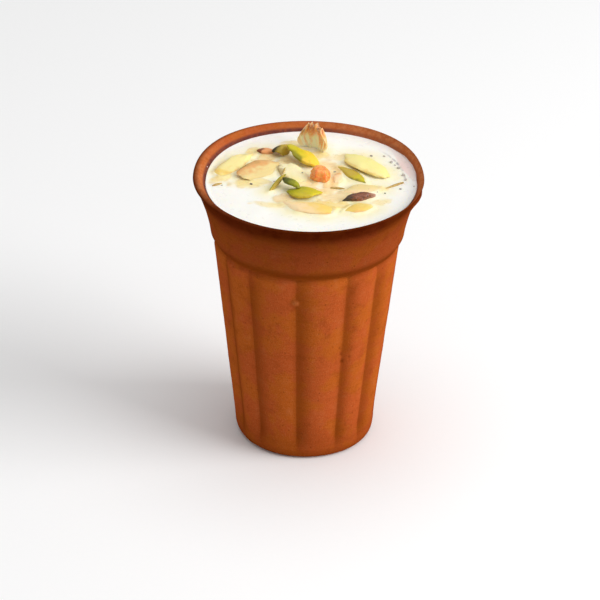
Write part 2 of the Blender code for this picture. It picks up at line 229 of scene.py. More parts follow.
SLICES = {spec.name: spec for spec in (
    Slice("almond_slice_left", -27.9, 12.9, 23.0, 8.4, 1.3, 56, 0.3, 2, 3, 0.25, 0.5, 0.2),
    Slice("tan_flake_left", -18.3, 8.8, 20.5, 10.6, 1.1, 45, 0.8, -2, 8, 0.20, 0.3, 0.2),
    Slice("orange_sliver", -16.2, 23.5, 6.4, 3.8, 1.6, -14, 0.7, 6, 0, 0.30, 0.2, 0.2),
    Slice("dark_pistachio_curl", -10.1, 22.5, 7.4, 5.4, 1.2, 30, 1.7, 4, 6, 0.20, 0.6, 2.6),
    Slice("long_pistachio_slice", -1.4, 16.2, 17.2, 9.0, 1.6, -40, 2.3, -16, -12, 0.45, 0.9, 0.4),
    Slice("candied_orange_piece", 4.6, 3.4, 7.8, 7.6, 6.2, 20, 1.8, 0, 0, 0.10, 0.0, 0.0),
    Slice("cream_flake_centre", -5.6, 6.6, 16.5, 9.6, 1.2, -66, 0.6, -4, 2, 0.15, 0.4, 0.3),
    Slice("dark_green_slice", -6.2, -4.6, 7.6, 5.6, 1.6, -40, 2.8, -6, -14, 0.20, 0.6, 0.6),
    Slice("front_pistachio_slice", -1.2, -8.6, 13.2, 10.0, 1.6, -4, 0.9, 2, -8, 0.15, 0.6, 0.4),
    Slice("green_sliver", -11.5, -2.6, 11.4, 1.9, 1.3, 58, 1.5, 15, 0, 0.35, 0.5, 0.0),
    Slice("almond_slice_right", 21.6, 13.4, 22.5, 11.0, 1.4, -50, 0.8, 1, -6, 0.15, 0.6, 0.4),
    Slice("right_pistachio_slice", 16.6, 7.0, 17.6, 6.2, 1.6, -52, -0.2, 1, -5, 0.25, 0.3, 0.3),
    Slice("peach_flake_middle", 11.1, 3.8, 9.6, 3.8, 1.1, 84, 0.2, 0, 4, 0.15, 0.3, 0.2),
    Slice("peach_flake_right", 19.8, -4.6, 14.4, 7.0, 1.1, 14, 0.2, 1, 3, 0.15, 0.3, 0.3),
    Slice("raisin", 19.0, -11.6, 13.6, 3.8, 2.8, 17, 0.8, 2, 0, 0.80, 0.5, 0.0),
    Slice("front_yellow_flake", 0.9, -19.0, 21.0, 9.2, 1.2, -15, 0.2, -1, -3, 0.15, 0.4, 0.3),
    Slice("front_right_yellow_flake", 18.4, -18.6, 12.6, 6.4, 1.2, 30, 0.1, 2, -4, 0.15, 0.4, 0.2),
)}
STRANDS = (
    Slice("strand_right", 31.6, -1.0, 9.6, 1.0, 1.0, 36, 0.15, 0, 0, 0.5, 0.2, 0.0),
    Slice("strand_middle", 10.6, -3.4, 6.0, 0.9, 0.9, -4, 0.1, 0, 0, 0.5, 0.2, 0.0),
    Slice("strand_left", -33.6, -1.8, 4.6, 0.9, 0.9, 32, 0.1, 0, 0, 0.5, 0.1, 0.0),
    Slice("strand_brown", -9.0, 7.9, 5.2, 0.7, 0.6, 78, 1.35, 0, 0, 0.5, 0.2, 0.0),
)
# How round a slice's edge is, how much of the taper its near end takes, and how far and how
# quickly its outline wanders.
SLICE_FLATNESS = 0.4
NEAR_POINT_SHARE = 0.35
OUTLINE_WANDER = 0.14
OUTLINE_WANDER_PACE = 2.1

# How the knife cuts an outline: in how many strokes, from where and how deep.
CHOPS = 6
CHOP_START = 1.02
CHOP_DEPTH = 0.2
CHOP_STEEPEST = 0.2
UNCUT_REACH = 1.05

# The ragged edge, the waves and the pits of a slice: how strong and how close.
RAGGED_PACE = 1.1
WAVE_SHARE = 1.6
WAVE_PACE = 0.22
PIT_SHARE = 0.35
PIT_PACE = 2.3

# How a slice is coloured: its first colour turns into its second towards a direction in degrees
# from +X towards +Y, between two places from -1 to 1. Its rim shows on the side it faces, specks
# says how speckled it is, and ring how clearly the rim shows all round.
Paint = namedtuple("Paint", "node slot first second way start end rim rim_way specks ring")

FLAKES = (
    Paint("almond_slice_left", "almond_slice", "almond", "almond_deep", -115, 0.1, 0.9,
          "tan_flake", -50, 0.0, 0.25),
    Paint("tan_flake_left", "tan_flake", "almond_warm", "tan_flake", 135, -0.25, 0.45,
          "nut_skin", 140, 0.3, 0.1),
    Paint("cream_flake_centre", "pale_almond", "cream_flake", "almond", -100, 0.0, 1.2,
          "nut_skin", 190, 0.6, 0.1),
    Paint("almond_slice_right", "almond_slice", "almond_cool", "almond", 230, -0.2, 0.9,
          "almond_deep", 222, 0.0, 0.15),
    Paint("front_yellow_flake", "almond_slice", "peach", "almond_deep", 0, -0.6, 0.5,
          "tan_flake", -80, 0.4, 0.15),
    Paint("front_right_yellow_flake", "almond_slice", "almond_deep", "almond", 60, 0.0, 1.0,
          "tan_flake", -90, 0.2, 0.15),
    Paint("peach_flake_middle", "peach_flake", "peach", "tan_flake", 90, 0.0, 1.0,
          "tan_flake", 150, 0.5, 0.0),
    Paint("peach_flake_right", "peach_flake", "almond_warm", "peach", -90, -0.2, 0.8,
          "tan_flake", -95, 1.0, 0.1),
)
# A pistachio_dark rim is painted shade on the edge turned from the light.
PISTACHIOS = (
    Paint("long_pistachio_slice", "pistachio", "pistachio_ripe", "pistachio", 150, -0.5, 0.6,
          "pistachio_dark", -130, 0.0, 0.15),
    Paint("dark_pistachio_curl", "pistachio_skin", "pistachio_olive", "pistachio_skin", 180, -0.1,
          0.7, "pistachio_skin", 130, 0.0, 0.3),
    Paint("front_pistachio_slice", "pistachio", "pistachio", "pistachio_green", 150, -0.2, 0.8,
          "pistachio_olive", -90, 0.0, 0.3),
    Paint("dark_green_slice", "pistachio_skin", "pistachio_green", "pistachio_dark", 165, -0.5,
          0.3, "pistachio_skin", 150, 0.0, 0.3),
    Paint("green_sliver", "pistachio", "pistachio_olive", "pistachio_green", 150, -0.2, 0.5,
          "pistachio_dark", 0, 0.0, 0.2),
    Paint("right_pistachio_slice", "pistachio", "pistachio", "pistachio_olive", 128, -0.8,
          0.1, "pistachio_dark", -90, 0.0, 0.3),
)
SLIVER = Paint("orange_sliver", "orange_sliver", "peel", "raisin", 165, 0.1, 0.7, "raisin", 180,
               0.0, 0.2)
# How glossy the flakes, the pistachios and the sliver are.
FLAKE_GLOSS = 0.04
PISTACHIO_GLOSS = 0.08
SLIVER_GLOSS = 0.05

# Flakes sunk just under the drink: place and size in mm, heading, how warm and how strong.
Sunken = namedtuple("Sunken", "x y length width heading warm strength")

SUNKEN = (
    Sunken(-5.6, 30.0, 12.0, 6.0, 10, 0.0, 0.55), Sunken(-8.6, 17.1, 8.0, 6.0, 30, 0.8, 0.7),
    Sunken(-15.5, 19.7, 13.0, 6.5, 42, 0.7, 0.75), Sunken(-20.5, 24.6, 8.0, 5.0, 30, 0.1, 0.7),
    Sunken(2.5, 22.2, 10.0, 6.0, 0, 0.1, 0.6), Sunken(7.2, 14.5, 8.0, 7.0, 70, 0.9, 0.75),
    Sunken(10.5, 10.6, 8.0, 6.0, 60, 0.9, 0.8), Sunken(8.7, -0.9, 12.0, 6.0, 80, 0.8, 0.8),
    Sunken(0.6, 0.6, 9.0, 8.0, 0, 0.5, 0.7), Sunken(9.0, -16.4, 15.0, 7.0, -10, 0.1, 0.8),
    Sunken(-9.3, -12.0, 7.0, 7.0, 0, 0.9, 0.7), Sunken(-14.2, -16.4, 14.0, 4.0, -12, 0.0, 0.45),
    Sunken(-21.4, -0.4, 15.0, 6.5, 8, 0.0, 0.6), Sunken(-32.7, 2.9, 10.0, 5.0, 40, 0.0, 0.6),
    Sunken(11.7, 20.9, 10.0, 4.0, 10, 0.3, 0.4), Sunken(26.4, -3.5, 9.0, 3.0, 20, 0.8, 0.6),
    Sunken(11.0, -11.2, 13.0, 8.0, 0, 0.6, 0.65), Sunken(6.3, -6.1, 8.0, 6.0, 0, 0.6, 0.7),
    Sunken(27.0, -13.4, 8.0, 4.0, 30, 0.0, 0.45), Sunken(-14.5, 11.5, 9.0, 9.0, 0, 0.6, 0.5),
    Sunken(-24.5, 19.0, 12.0, 5.0, 50, 0.2, 0.5), Sunken(13.5, -7.6, 8.0, 5.0, 0, 0.9, 0.6),
)
# How a sunken flake lifts the drink, how far out it shows and wanders, how it fades, how strongly
# it shows, and where its rim is.
SUNK_LIFT = 0.12 * MM
SUNK_REACH = 1.25
SUNK_WANDER = 0.4
SUNK_WANDER_PACE = 2.6 * MM
SUNK_FADE = 0.6
SUNK_STRENGTH = 1.25
SUNK_RIM = 0.3
SUNK_RIM_REACH = 0.2

# The standing shard of clotted cream: a ridged sheet, folded round and ragged along its top.
SHARD_PLACE = (2.5 * MM, 27.9 * MM)
SHARD_LEAN = radians(2.0)
SHARD_HEADING = radians(-30.0)
SHARD_WIDTH = 6.4 * MM
SHARD_BELLY = 5.8 * MM
SHARD_BELLY_POWER = 1.15
SHARD_FLARE = 0.7 * MM
SHARD_HEIGHT = 10.25 * MM
SHARD_SUNK = 1.6 * MM
SHARD_SHOULDER = 0.96 * MM
SHARD_RAGGED = 2.2 * MM
SHARD_RAGGED_PACE = 2.7
SHARD_SIDE_SHIFT = 0.2
SHARD_TIPS = 3.2 * MM
SHARD_TIP_PACE = 4.5
SHARD_THICK = 1.3 * MM
SHARD_EDGE_THINNING = 0.85
SHARD_FOLD = 2.2 * MM
SHARD_COLUMNS = 150
SHARD_ROWS = 60

# Its ridges: even ones that slant, wandering ribs that leave a valley free, crumbs, and fins on
# the right.
SHARD_RIDGE = 0.9 * MM
SHARD_RIDGES = 5.0
SHARD_SLANT = 2.0
SHARD_RIB = 0.9 * MM
SHARD_RIB_TOP = 0.7
SHARD_RIB_FALL = 2.6
SHARD_RIB_PACE = 4.2
SHARD_RIB_SLANT = 0.9
SHARD_RIB_RISE = 0.7
SHARD_VALLEY = 0.05
SHARD_VALLEY_REACH = 0.38
SHARD_CRUMB = 0.15 * MM
SHARD_CRUMB_PACE = 14.0
SHARD_CRUMB_RISE = 9.0
SHARD_FIN_START = 0.35
SHARD_FIN_FADE = 0.3
SHARD_FINS = 9.0
SHARD_FIN_SLANT = 3.0

# The pimple and the larger pits in the clay: bearing in degrees, height, radius and depth in mm.
Mark = namedtuple("Mark", "bearing height radius depth")
CLAY_MARKS = (
    Mark(-6.9, 72.5, 1.9, -1.3), Mark(24.5, 50.5, 1.0, 0.45), Mark(25.5, 47.5, 1.1, 0.5),
    Mark(27.0, 44.0, 1.2, 0.55), Mark(32.0, 45.5, 0.9, 0.4), Mark(-41.0, 74.0, 0.9, 0.4),
    Mark(-39.0, 67.0, 0.8, 0.35), Mark(-24.0, 59.5, 0.8, 0.35), Mark(-21.0, 56.0, 0.7, 0.3),
    Mark(-40.4, 102.7, 0.9, 0.4), Mark(12.0, 94.5, 0.9, 0.3), Mark(34.0, 14.0, 1.0, 0.4),
    Mark(150.0, 60.0, 0.9, 0.4), Mark(205.0, 38.0, 1.0, 0.4), Mark(112.0, 52.0, 0.8, 0.35),
)
# A middling radius of the body, for their painted shade and highlight.
BODY_RADIUS = 31.0 * MM

# Dark specks that float on the drink: x, y and radius in mm, and how black.
SPECKS = (
    (-31.9, -2.4, 0.28, 0.7), (-21.1, -1.0, 0.5, 0.9), (23.6, 22.2, 0.5, 0.6),
    (34.2, -3.2, 0.35, 0.6), (-4.9, 9.8, 0.42, 0.5), (-2.2, 6.0, 0.32, 0.4),
    (-3.2, 12.6, 0.25, 0.4), (9.9, 9.3, 0.4, 0.8), (10.4, 5.6, 0.3, 0.8), (25.6, -5.9, 0.4, 0.8),
    (28.4, -6.6, 0.3, 0.6), (28.4, 22.0, 0.5, 0.15), (31.0, 17.6, 0.65, 0.25),
    (32.4, 15.4, 0.4, 0.15), (33.6, 13.0, 0.6, 0.25), (35.3, 7.6, 0.65, 0.2),
    (36.2, 4.2, 0.5, 0.15), (39.4, -0.9, 0.35, 0.1), (-12.6, 1.2, 0.3, 0.5),
)
# A speck's length, width and thickness for its radius, how much its place turns it, how high it
# floats in mm, and how far from the middle of the cream flake it still lies on it.
SPECK_SHAPE = (2.6, 1.8, 1.1)
SPECK_TURN = 37.0
SPECK_RISE = 0.12
SPECK_RISE_ON_FLAKE = 1.35
SPECK_FLAKE_REACH = 7.0

# The soft lights: bearing and elevation, and distance and size in metres.
Softbox = namedtuple("Softbox", "name bearing elevation distance size")
WINDOW = Softbox("window", radians(72.0), radians(30.0), 1.3, 0.9)
OVERHEAD = Softbox("overhead", radians(150.0), radians(85.0), 1.2, 1.0)

# The floor: how far it reaches, how far below the foot it lies, and how dark its grain is.
FLOOR_REACH = 4.0
FLOOR_DROP = 0.02 * MM
FLOOR_SHADE = 0.985

# The standpoint and the lens.
VIEW_DISTANCE = 1500.0 * MM
VIEW_ELEVATION = radians(28.7)
VIEW_ROLL = radians(0.9)
FRAME_PIXELS = 600
RIM_CENTRE_PIXEL = (308.3, 176.0)
MM_PER_PIXEL = 0.3707
SENSOR_WIDTH = 36.0
CLIP_START = 0.05

# Colours that only the grain of one finish uses, in linear light.
SUNK_FIBRE = (0.62, 0.40, 0.14)
SUNK_SPECK = (0.30, 0.24, 0.14)
# A painted shadow line on the drink, at the inner edge of the skin.
EDGE_SHADOW = (0.30, 0.27, 0.30)
FLAKE_SPECK = (0.25, 0.20, 0.12)
CANDIED_HEART = (0.96, 0.22, 0.04)
SUGAR = (1.0, 0.62, 0.30)
# Painted shade in a raisin's wrinkles.
RAISIN_WRINKLE_SHADE = (0.05, 0.02, 0.012)
RAISIN_TOP = (0.045, 0.012, 0.008)
RAISIN_END = (0.03, 0.028, 0.012)
RAISIN_TIP = (0.66, 0.38, 0.28)
CREAM_TIP = (0.62, 0.22, 0.08)
SPECK_PALE = (0.62, 0.56, 0.50)
SPECK_BLACK = (0.07, 0.07, 0.05)
SPECK_GRAIN = (0.45, 0.38, 0.28)


def unit_colour(name, description, colour):
    """A colour property, in linear light."""
    return FloatVectorProperty(name=name, description=description, default=colour, size=3,
                               min=0.0, max=1.0, subtype="COLOR")


def length(name, description, value):
    """A length property, in metres."""
    return FloatProperty(name=name, description=description, default=value, min=0.0,
                         precision=5, unit="LENGTH")


class LassiCupSettings(bpy.types.PropertyGroup):
    """The terracotta cup."""

    flute_depth: length("Flute Depth", "How deep the grooves are pressed", 1.5 * MM)
    ripple: length("Turning Ripple", "Height of the ripples left by the wheel", 0.08 * MM)
    wobble: length("Wobble", "How far the wall wanders from a true round", 0.2 * MM)
    clay: unit_colour("Clay", "The fired clay", (0.42, 0.093, 0.013))
    clay_red: unit_colour("Red Clay", "Redder patches", (0.42, 0.080, 0.018))
    # Also the paler lip, partly painted light, and the pimple's painted highlight.
    clay_pale: unit_colour("Pale Clay", "Dry, rubbed clay on the lip", (0.52, 0.170, 0.062))
    # Also the colour of the painted shade in the grooves, the seam, the pits and the foot.
    clay_dark: unit_colour("Dark Clay", "Clay in its hollows", (0.17, 0.032, 0.002))
    # Painted shade under the rim.
    damp: unit_colour("Damp Clay", "Damp clay under the rim", (0.052, 0.005, 0.0005))
    # A darker band on the wall just above the drink.
    wet: unit_colour("Wet Clay", "The line just above the drink", (0.13, 0.038, 0.032))
    roughness: FloatProperty(name="Roughness", description="How matte the clay is", default=0.8,
                             min=0.0, max=1.0, subtype="FACTOR")


class LassiDrinkSettings(bpy.types.PropertyGroup):
    """The drink."""

    curd: unit_colour("Curd", "The drink itself", (0.960, 0.945, 0.875))
    tint: unit_colour("Tint", "The drink beside the garnish", (0.955, 0.83, 0.44))
    sunk: unit_colour("Sunk Yellow", "A yellow flake under the drink", (0.92, 0.68, 0.20))
    sunk_warm: unit_colour("Sunk Peach", "A peach flake under the drink", (0.92, 0.63, 0.30))
    sunk_edge: unit_colour("Sunk Edge", "The rim of a sunk flake", (0.66, 0.44, 0.16))
    blush: unit_colour("Blush", "The thin skin at the wall", (0.88, 0.60, 0.56))
    tint_reach: length("Tint Reach", "How far the garnish tints the drink", 8.0 * MM)
    meniscus: length("Meniscus", "How far the drink climbs the wall", 0.45 * MM)
    cling: length("Cling", "How far the drink climbs each piece of garnish", 0.55 * MM)


class LassiGarnishSettings(bpy.types.PropertyGroup):
    """The garnish."""

    almond: unit_colour("Almond", "Pale almond", (0.94, 0.80, 0.34))
    almond_cool: unit_colour("Cool Almond", "Almond, a little greener", (0.90, 0.82, 0.30))
    almond_warm: unit_colour("Warm Almond", "Almond, faintly toasted", (0.82, 0.645, 0.285))
    almond_deep: unit_colour("Deep Almond", "Almond soaked with saffron", (0.90, 0.62, 0.15))
    cream_flake: unit_colour("Cream Flake", "The palest flake", (0.99, 0.87, 0.52))
    tan_flake: unit_colour("Tan Flake", "The toasted flake", (0.77, 0.41, 0.15))
    peach: unit_colour("Peach Flake", "A flake soaked in syrup", (0.94, 0.70, 0.40))
    nut_skin: unit_colour("Nut Skin", "The brown rim of a flake", (0.40, 0.25, 0.06))
    pistachio: unit_colour("Pistachio", "Yellow green of a cut pistachio", (0.60, 0.50, 0.012))
    pistachio_ripe: unit_colour("Ripe Pistachio", "Its golden end", (0.90, 0.60, 0.05))
    pistachio_green: unit_colour("Pistachio Green", "Its deeper green", (0.34, 0.34, 0.010))
    pistachio_olive: unit_colour("Pistachio Olive", "Its brown green", (0.54, 0.38, 0.045))
    pistachio_dark: unit_colour("Dark Pistachio", "Its shaded green", (0.11, 0.12, 0.008))
    pistachio_skin: unit_colour("Pistachio Skin", "Its dark skin", (0.045, 0.035, 0.008))
    candied: unit_colour("Candied Fruit", "Translucent orange fruit", (1.0, 0.40, 0.09))
    peel: unit_colour("Peel", "The orange sliver", (0.88, 0.40, 0.16))
    raisin: unit_colour("Raisin", "Maroon raisin", (0.27, 0.080, 0.030))
    saffron: unit_colour("Saffron", "Saffron strands", (0.58, 0.38, 0.11))
    cream: unit_colour("Clotted Cream", "The cream shard", (1.0, 0.94, 0.68))
    cream_brown: unit_colour("Browned Cream", "Its browned ridges", (0.88, 0.46, 0.16))


class LassiStageSettings(bpy.types.PropertyGroup):
    """The studio."""

    floor: unit_colour("Floor", "The pale floor", (0.95, 0.95, 0.95))
    sky: FloatProperty(name="Sky", description="Strength of the even light", default=0.46, min=0.0)
    key: FloatProperty(name="Key", description="Power of the window light on the right",
                       default=15.0, min=0.0, unit="POWER")
    top: FloatProperty(name="Top", description="Power of the soft light overhead",
                       default=4.2, min=0.0, unit="POWER")


# Small sums

def ease(value):
    """Smooth step from 0 to 1, for numbers and arrays alike."""
    value = np.clip(value, 0.0, 1.0)
    return value * value * (3.0 - 2.0 * value)


def bump(distance, reach):
    """A smooth hill: 1 where distance is 0, and 0 from reach on, to either side."""
    return ease(1.0 - np.abs(distance) / reach)


def fall(distance, reach):
    """A share that falls from 1 at a surface to 0 at reach from it."""
    return (1.0 - np.clip(distance / reach, 0.0, 1.0)) ** 2


def soft_noise(x, y, z):
    """Blender's soft noise at each place, in the shape of the arrays."""
    x, y, z = np.broadcast_arrays(x, y, z)
    places = zip(x.ravel().tolist(), y.ravel().tolist(), z.ravel().tolist())
    return np.array([noise.noise(Vector(place)) for place in places]).reshape(x.shape)


def full_turn(count):
    """Bearings of count columns, evenly round the axis."""
    return np.arange(count) / count * 2.0 * pi


def round_axis(radius, bearing, z, shift):
    """Points at bearings round the axis, each shifted sideways."""
    x = radius * np.sin(bearing) + shift
    return np.stack([x, -radius * np.cos(bearing), z], axis=-1).reshape(-1, 3)


def evenly(low, high, step):
    """Values from low to high, no further than step apart."""
    return np.linspace(low, high, int(abs(high - low) / step) + 2)


def grid_faces(rows, columns, wraps):
    """Quads over points listed row by row. With wraps, the last column joins the first."""
    across = columns if wraps else columns - 1
    row, column = np.meshgrid(np.arange(rows - 1), np.arange(across), indexing="ij")
    row, column = row.ravel(), column.ravel()
    after = (column + 1) % columns
    low, high = row * columns, (row + 1) * columns
    return np.stack([low + column, low + after, high + after, high + column], axis=1).tolist()


def turned_over(faces, start=0):
    """The same faces seen from behind, with their points counted from start."""
    return [tuple(start + i for i in reversed(face)) for face in faces]


def moved(points, place, turn):
    """Points turned, then moved to a place."""
    matrix = Matrix.Translation(Vector(place)) @ turn.to_matrix().to_4x4()
    return [matrix @ Vector(point) for point in points]


def cap_faces(centre, first, columns, reverse):
    """Triangles that close a ring of points with one point in its middle."""
    ring = [(first + i, first + (i + 1) % columns) for i in range(columns)]
    return [(centre, b, a) if reverse else (centre, a, b) for a, b in ring]


def make_piece(name, points, faces, finish, nodes=(), marks=None, crease=None):
    """Make a mesh piece with its finish, point attributes, slot and the solids it stands for."""
    mesh = bpy.data.meshes.new(name)
    mesh.from_pydata([tuple(point) for point in points], [], faces)
    for title, values in (marks or {}).items():
        layer = mesh.attributes.new(title, "FLOAT", "POINT")
        layer.data.foreach_set("value", np.asarray(values, dtype=np.float32))
    mesh.update()
    mesh.shade_smooth()
    if crease is not None:
        mesh.set_sharp_from_angle(angle=radians(crease))
    mesh.materials.append(finish)
    piece = bpy.data.objects.new(name, mesh)
    bpy.context.scene.collection.objects.link(piece)
    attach(piece, "root")
    if nodes:
        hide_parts(*nodes)
    return piece


# Finishes

class Finish:
    """A procedural finish: a Principled shader and the nodes that feed it, in millimetres.

    paint is the colour so far. Each colour that is laid goes over the ones before it.
    """

    def __init__(self, name, sockets):
        self.material = bpy.data.materials.new(name)
        self.material.use_nodes = True
        self.tree = self.material.node_tree
        self.shader = self.tree.nodes["Principled BSDF"]
        for socket, value in sockets.items():
            self.shader.inputs[socket].default_value = value
        place = self.add("ShaderNodeTexCoord").outputs["Object"]
        self.mm = self.stretched(place, (1.0 / MM, 1.0 / MM, 1.0 / MM))
        self.paint = None

    def add(self, kind, inputs=None, **settings):
        """Add a node, and link or set its inputs."""
        node = self.tree.nodes.new(kind)
        for setting, value in settings.items():
            setattr(node, setting, value)
        for socket, value in (inputs or {}).items():
            if isinstance(value, bpy.types.NodeSocket):
                self.tree.links.new(value, node.inputs[socket])
            else:
                node.inputs[socket].default_value = value
        return node

    def stretched(self, vector, scale):
        """A place scaled along each axis."""
        return self.add("ShaderNodeMapping", {"Vector": vector, "Scale": scale}).outputs["Vector"]

    def mottle(self, size, detail=3.0, vector=None, roughness=0.55):
        """Soft noise whose patches are about size mm across."""
        inputs = {"Vector": vector or self.mm, "Scale": 1.0 / size, "Detail": detail,
                  "Roughness": roughness}
        return self.add("ShaderNodeTexNoise", inputs).outputs["Fac"]

    def cells(self, size):
        """Distance from the nearest of points about size mm apart."""
        inputs = {"Vector": self.mm, "Scale": 1.0 / size}
        return self.add("ShaderNodeTexVoronoi", inputs).outputs["Distance"]

    def between(self, value, low, high, start=0.0, end=1.0):
        """A value carried smoothly from one range to another."""
        inputs = {"Value": value, "From Min": low, "From Max": high, "To Min": start, "To Max": end}
        node = self.add("ShaderNodeMapRange", inputs, interpolation_type="SMOOTHSTEP")
        return node.outputs["Result"]

    def sum(self, first, operation, second):
        """Two values added, multiplied or otherwise put together."""
        return self.add("ShaderNodeMath", {0: first, 1: second}, operation=operation).outputs[0]

    def times(self, first, second):
        """Two values multiplied."""
        return self.sum(first, "MULTIPLY", second)

    def mark(self, title):
        """A value that the mesh carries."""
        return self.add("ShaderNodeAttribute", attribute_name=title).outputs["Fac"]

    def broken(self, title, value, low, high, start, end):
        """A value that the mesh carries, broken up by a mottle."""
        return self.times(self.mark(title), self.between(value, low, high, start, end))

    def blend(self, share, first, second):
        """A colour between two others."""
        node = self.add("ShaderNodeMix", data_type="RGBA")
        for socket, value in ((0, share), (6, first), (7, second)):
            if isinstance(value, bpy.types.NodeSocket):
                self.tree.links.new(value, node.inputs[socket])
            elif socket == 0:
                node.inputs[0].default_value = value
            else:
                node.inputs[socket].default_value = (*value, 1.0)
        return node.outputs[2]

    def towards(self, degrees):
        """How far across a slice a point is, from -1 to 1, in a direction from its length."""
        along = self.times(self.mark("along"), cos(radians(degrees)))
        across = self.times(self.mark("across"), sin(radians(degrees)))
        return self.sum(along, "ADD", across)

    def lay(self, share, colour):
        """Lay a colour over the paint so far."""
        self.paint = self.blend(share, self.paint, colour)

    def rough(self, value, low, high, start, end):
        """Feed the roughness from a value carried from one range to another."""
        roughness = self.between(value, low, high, start, end)
        self.tree.links.new(roughness, self.shader.inputs["Roughness"])

    def done(self, *layers):
        """Feed the colour and the relief, and hand over the material.

        Each layer is a height and its depth in mm, laid over the one before.
        """
        normal = None
        for height, depth in layers:
            inputs = {"Height": height, "Distance": depth * MM, "Strength": 1.0}
            if normal is not None:
                inputs["Normal"] = normal
            normal = self.add("ShaderNodeBump", inputs).outputs["Normal"]
        self.tree.links.new(normal, self.shader.inputs["Normal"])
        self.tree.links.new(self.paint, self.shader.inputs["Base Color"])
        return self.material


def soaked(weight, depth, radius):
    """The sockets of something that light soaks into."""
    return {"Subsurface Weight": weight, "Subsurface Scale": depth, "Subsurface Radius": radius}


def terracotta_finish(look):
    """Matte fired clay: mottled, gritty, ringed by the wheel, with painted shade in its hollows."""
    finish = Finish("terracotta", {"Roughness": look.roughness, "Specular IOR Level": 0.0})
    patches = finish.mottle(11.0)
    blotches = finish.mottle(5.0, 4.0)
    rings = finish.mottle(1.1, 3.0, finish.stretched(finish.mm, (0.04, 0.04, 1.0)))
    grit = finish.mottle(0.5, 3.0, roughness=0.7)
    ragged = finish.mottle(1.6)
    pits = finish.between(finish.cells(3.3), 0.0, 0.15, 1.0, 0.0)
    finish.paint = finish.blend(finish.between(patches, 0.42, 0.58), look.clay, look.clay_red)
    for value, low, high, strength, colour in (
            (blotches, 0.52, 0.75, 0.30, look.clay_dark),
            (blotches, 0.45, 0.22, 0.22, look.clay_pale),
            (rings, 0.48, 0.75, 0.16, look.clay_dark),
            (grit, 0.52, 0.72, 0.38, look.clay_pale),
            (grit, 0.48, 0.27, 0.42, look.clay_dark)):
        finish.lay(finish.between(value, low, high, 0.0, strength), colour)
    # Painted shade in the little pits.
    finish.lay(finish.times(pits, 0.55), look.clay_dark)
    # Painted shade: in the grooves, most on the side turned from the light, round the seam, at the
    # foot.
    finish.lay(finish.times(finish.mark("hollow"), 0.8), look.clay_dark)
    # Paler lip, partly painted light on the shaded wall; a painted highlight on the pimple.
    finish.lay(finish.broken("rubbed", ragged, 0.38, 0.62, 0.45, 1.0), look.clay_pale)
    # Painted shade under the rim, deepest at the front.
    finish.lay(finish.broken("damp", blotches, 0.3, 0.7, 1.0, 0.92), look.damp)
    # A darker band on the inner wall just above the drink, fainter on the right.
    finish.lay(finish.broken("wet", ragged, 0.35, 0.6, 0.75, 1.0), look.wet)
    finish.rough(grit, 0.3, 0.7, look.roughness + 0.08, look.roughness - 0.1)
    return finish.done((rings, 0.07), (grit, 0.11), (pits, -0.15))


def drink_finish(name, look):
    """Thick lassi: creamy white, with flakes showing through it and a satin skin."""
    finish = Finish(name, {"Roughness": 0.3, **soaked(0.3, 0.003, (1.0, 0.8, 0.55)),
                           "Specular IOR Level": 0.4})
    clots = finish.mottle(2.2, 4.0)
    swirl = finish.mottle(7.0)
    fibres = finish.mottle(1.0, 4.0, finish.stretched(finish.mm, (0.3, 1.2, 1.0)))
    specks = finish.between(finish.cells(2.1), 0.03, 0.12, 1.0, 0.0)
    flake = finish.blend(finish.mark("warm"), look.sunk, look.sunk_warm)
    flake = finish.blend(finish.between(fibres, 0.48, 0.62, 0.0, 0.5), flake, look.tint)
    flake = finish.blend(finish.between(fibres, 0.44, 0.3, 0.0, 0.35), flake, SUNK_FIBRE)
    tint = finish.broken("tint", swirl, 0.3, 0.65, 0.55, 1.0)
    finish.paint = finish.blend(tint, look.curd, look.tint)
    finish.lay(finish.broken("sunk", clots, 0.3, 0.6, 1.0, 0.8), flake)
    finish.lay(finish.times(finish.times(specks, finish.mark("sunk")), 0.45), SUNK_SPECK)
    finish.lay(finish.broken("outline", fibres, 0.4, 0.6, 0.15, 0.7), look.sunk_edge)
    finish.lay(finish.mark("blush"), look.blush)
    # A broken line of painted shadow at the inner edge of the skin on the right.
    finish.lay(finish.broken("froth", clots, 0.42, 0.56, 0.25, 1.0), EDGE_SHADOW)
    finish.rough(clots, 0.3, 0.7, 0.26, 0.42)
    threads = finish.times(fibres, finish.mark("sunk"))
    return finish.done((swirl, 0.2), (clots, 0.06), (threads, 0.15))


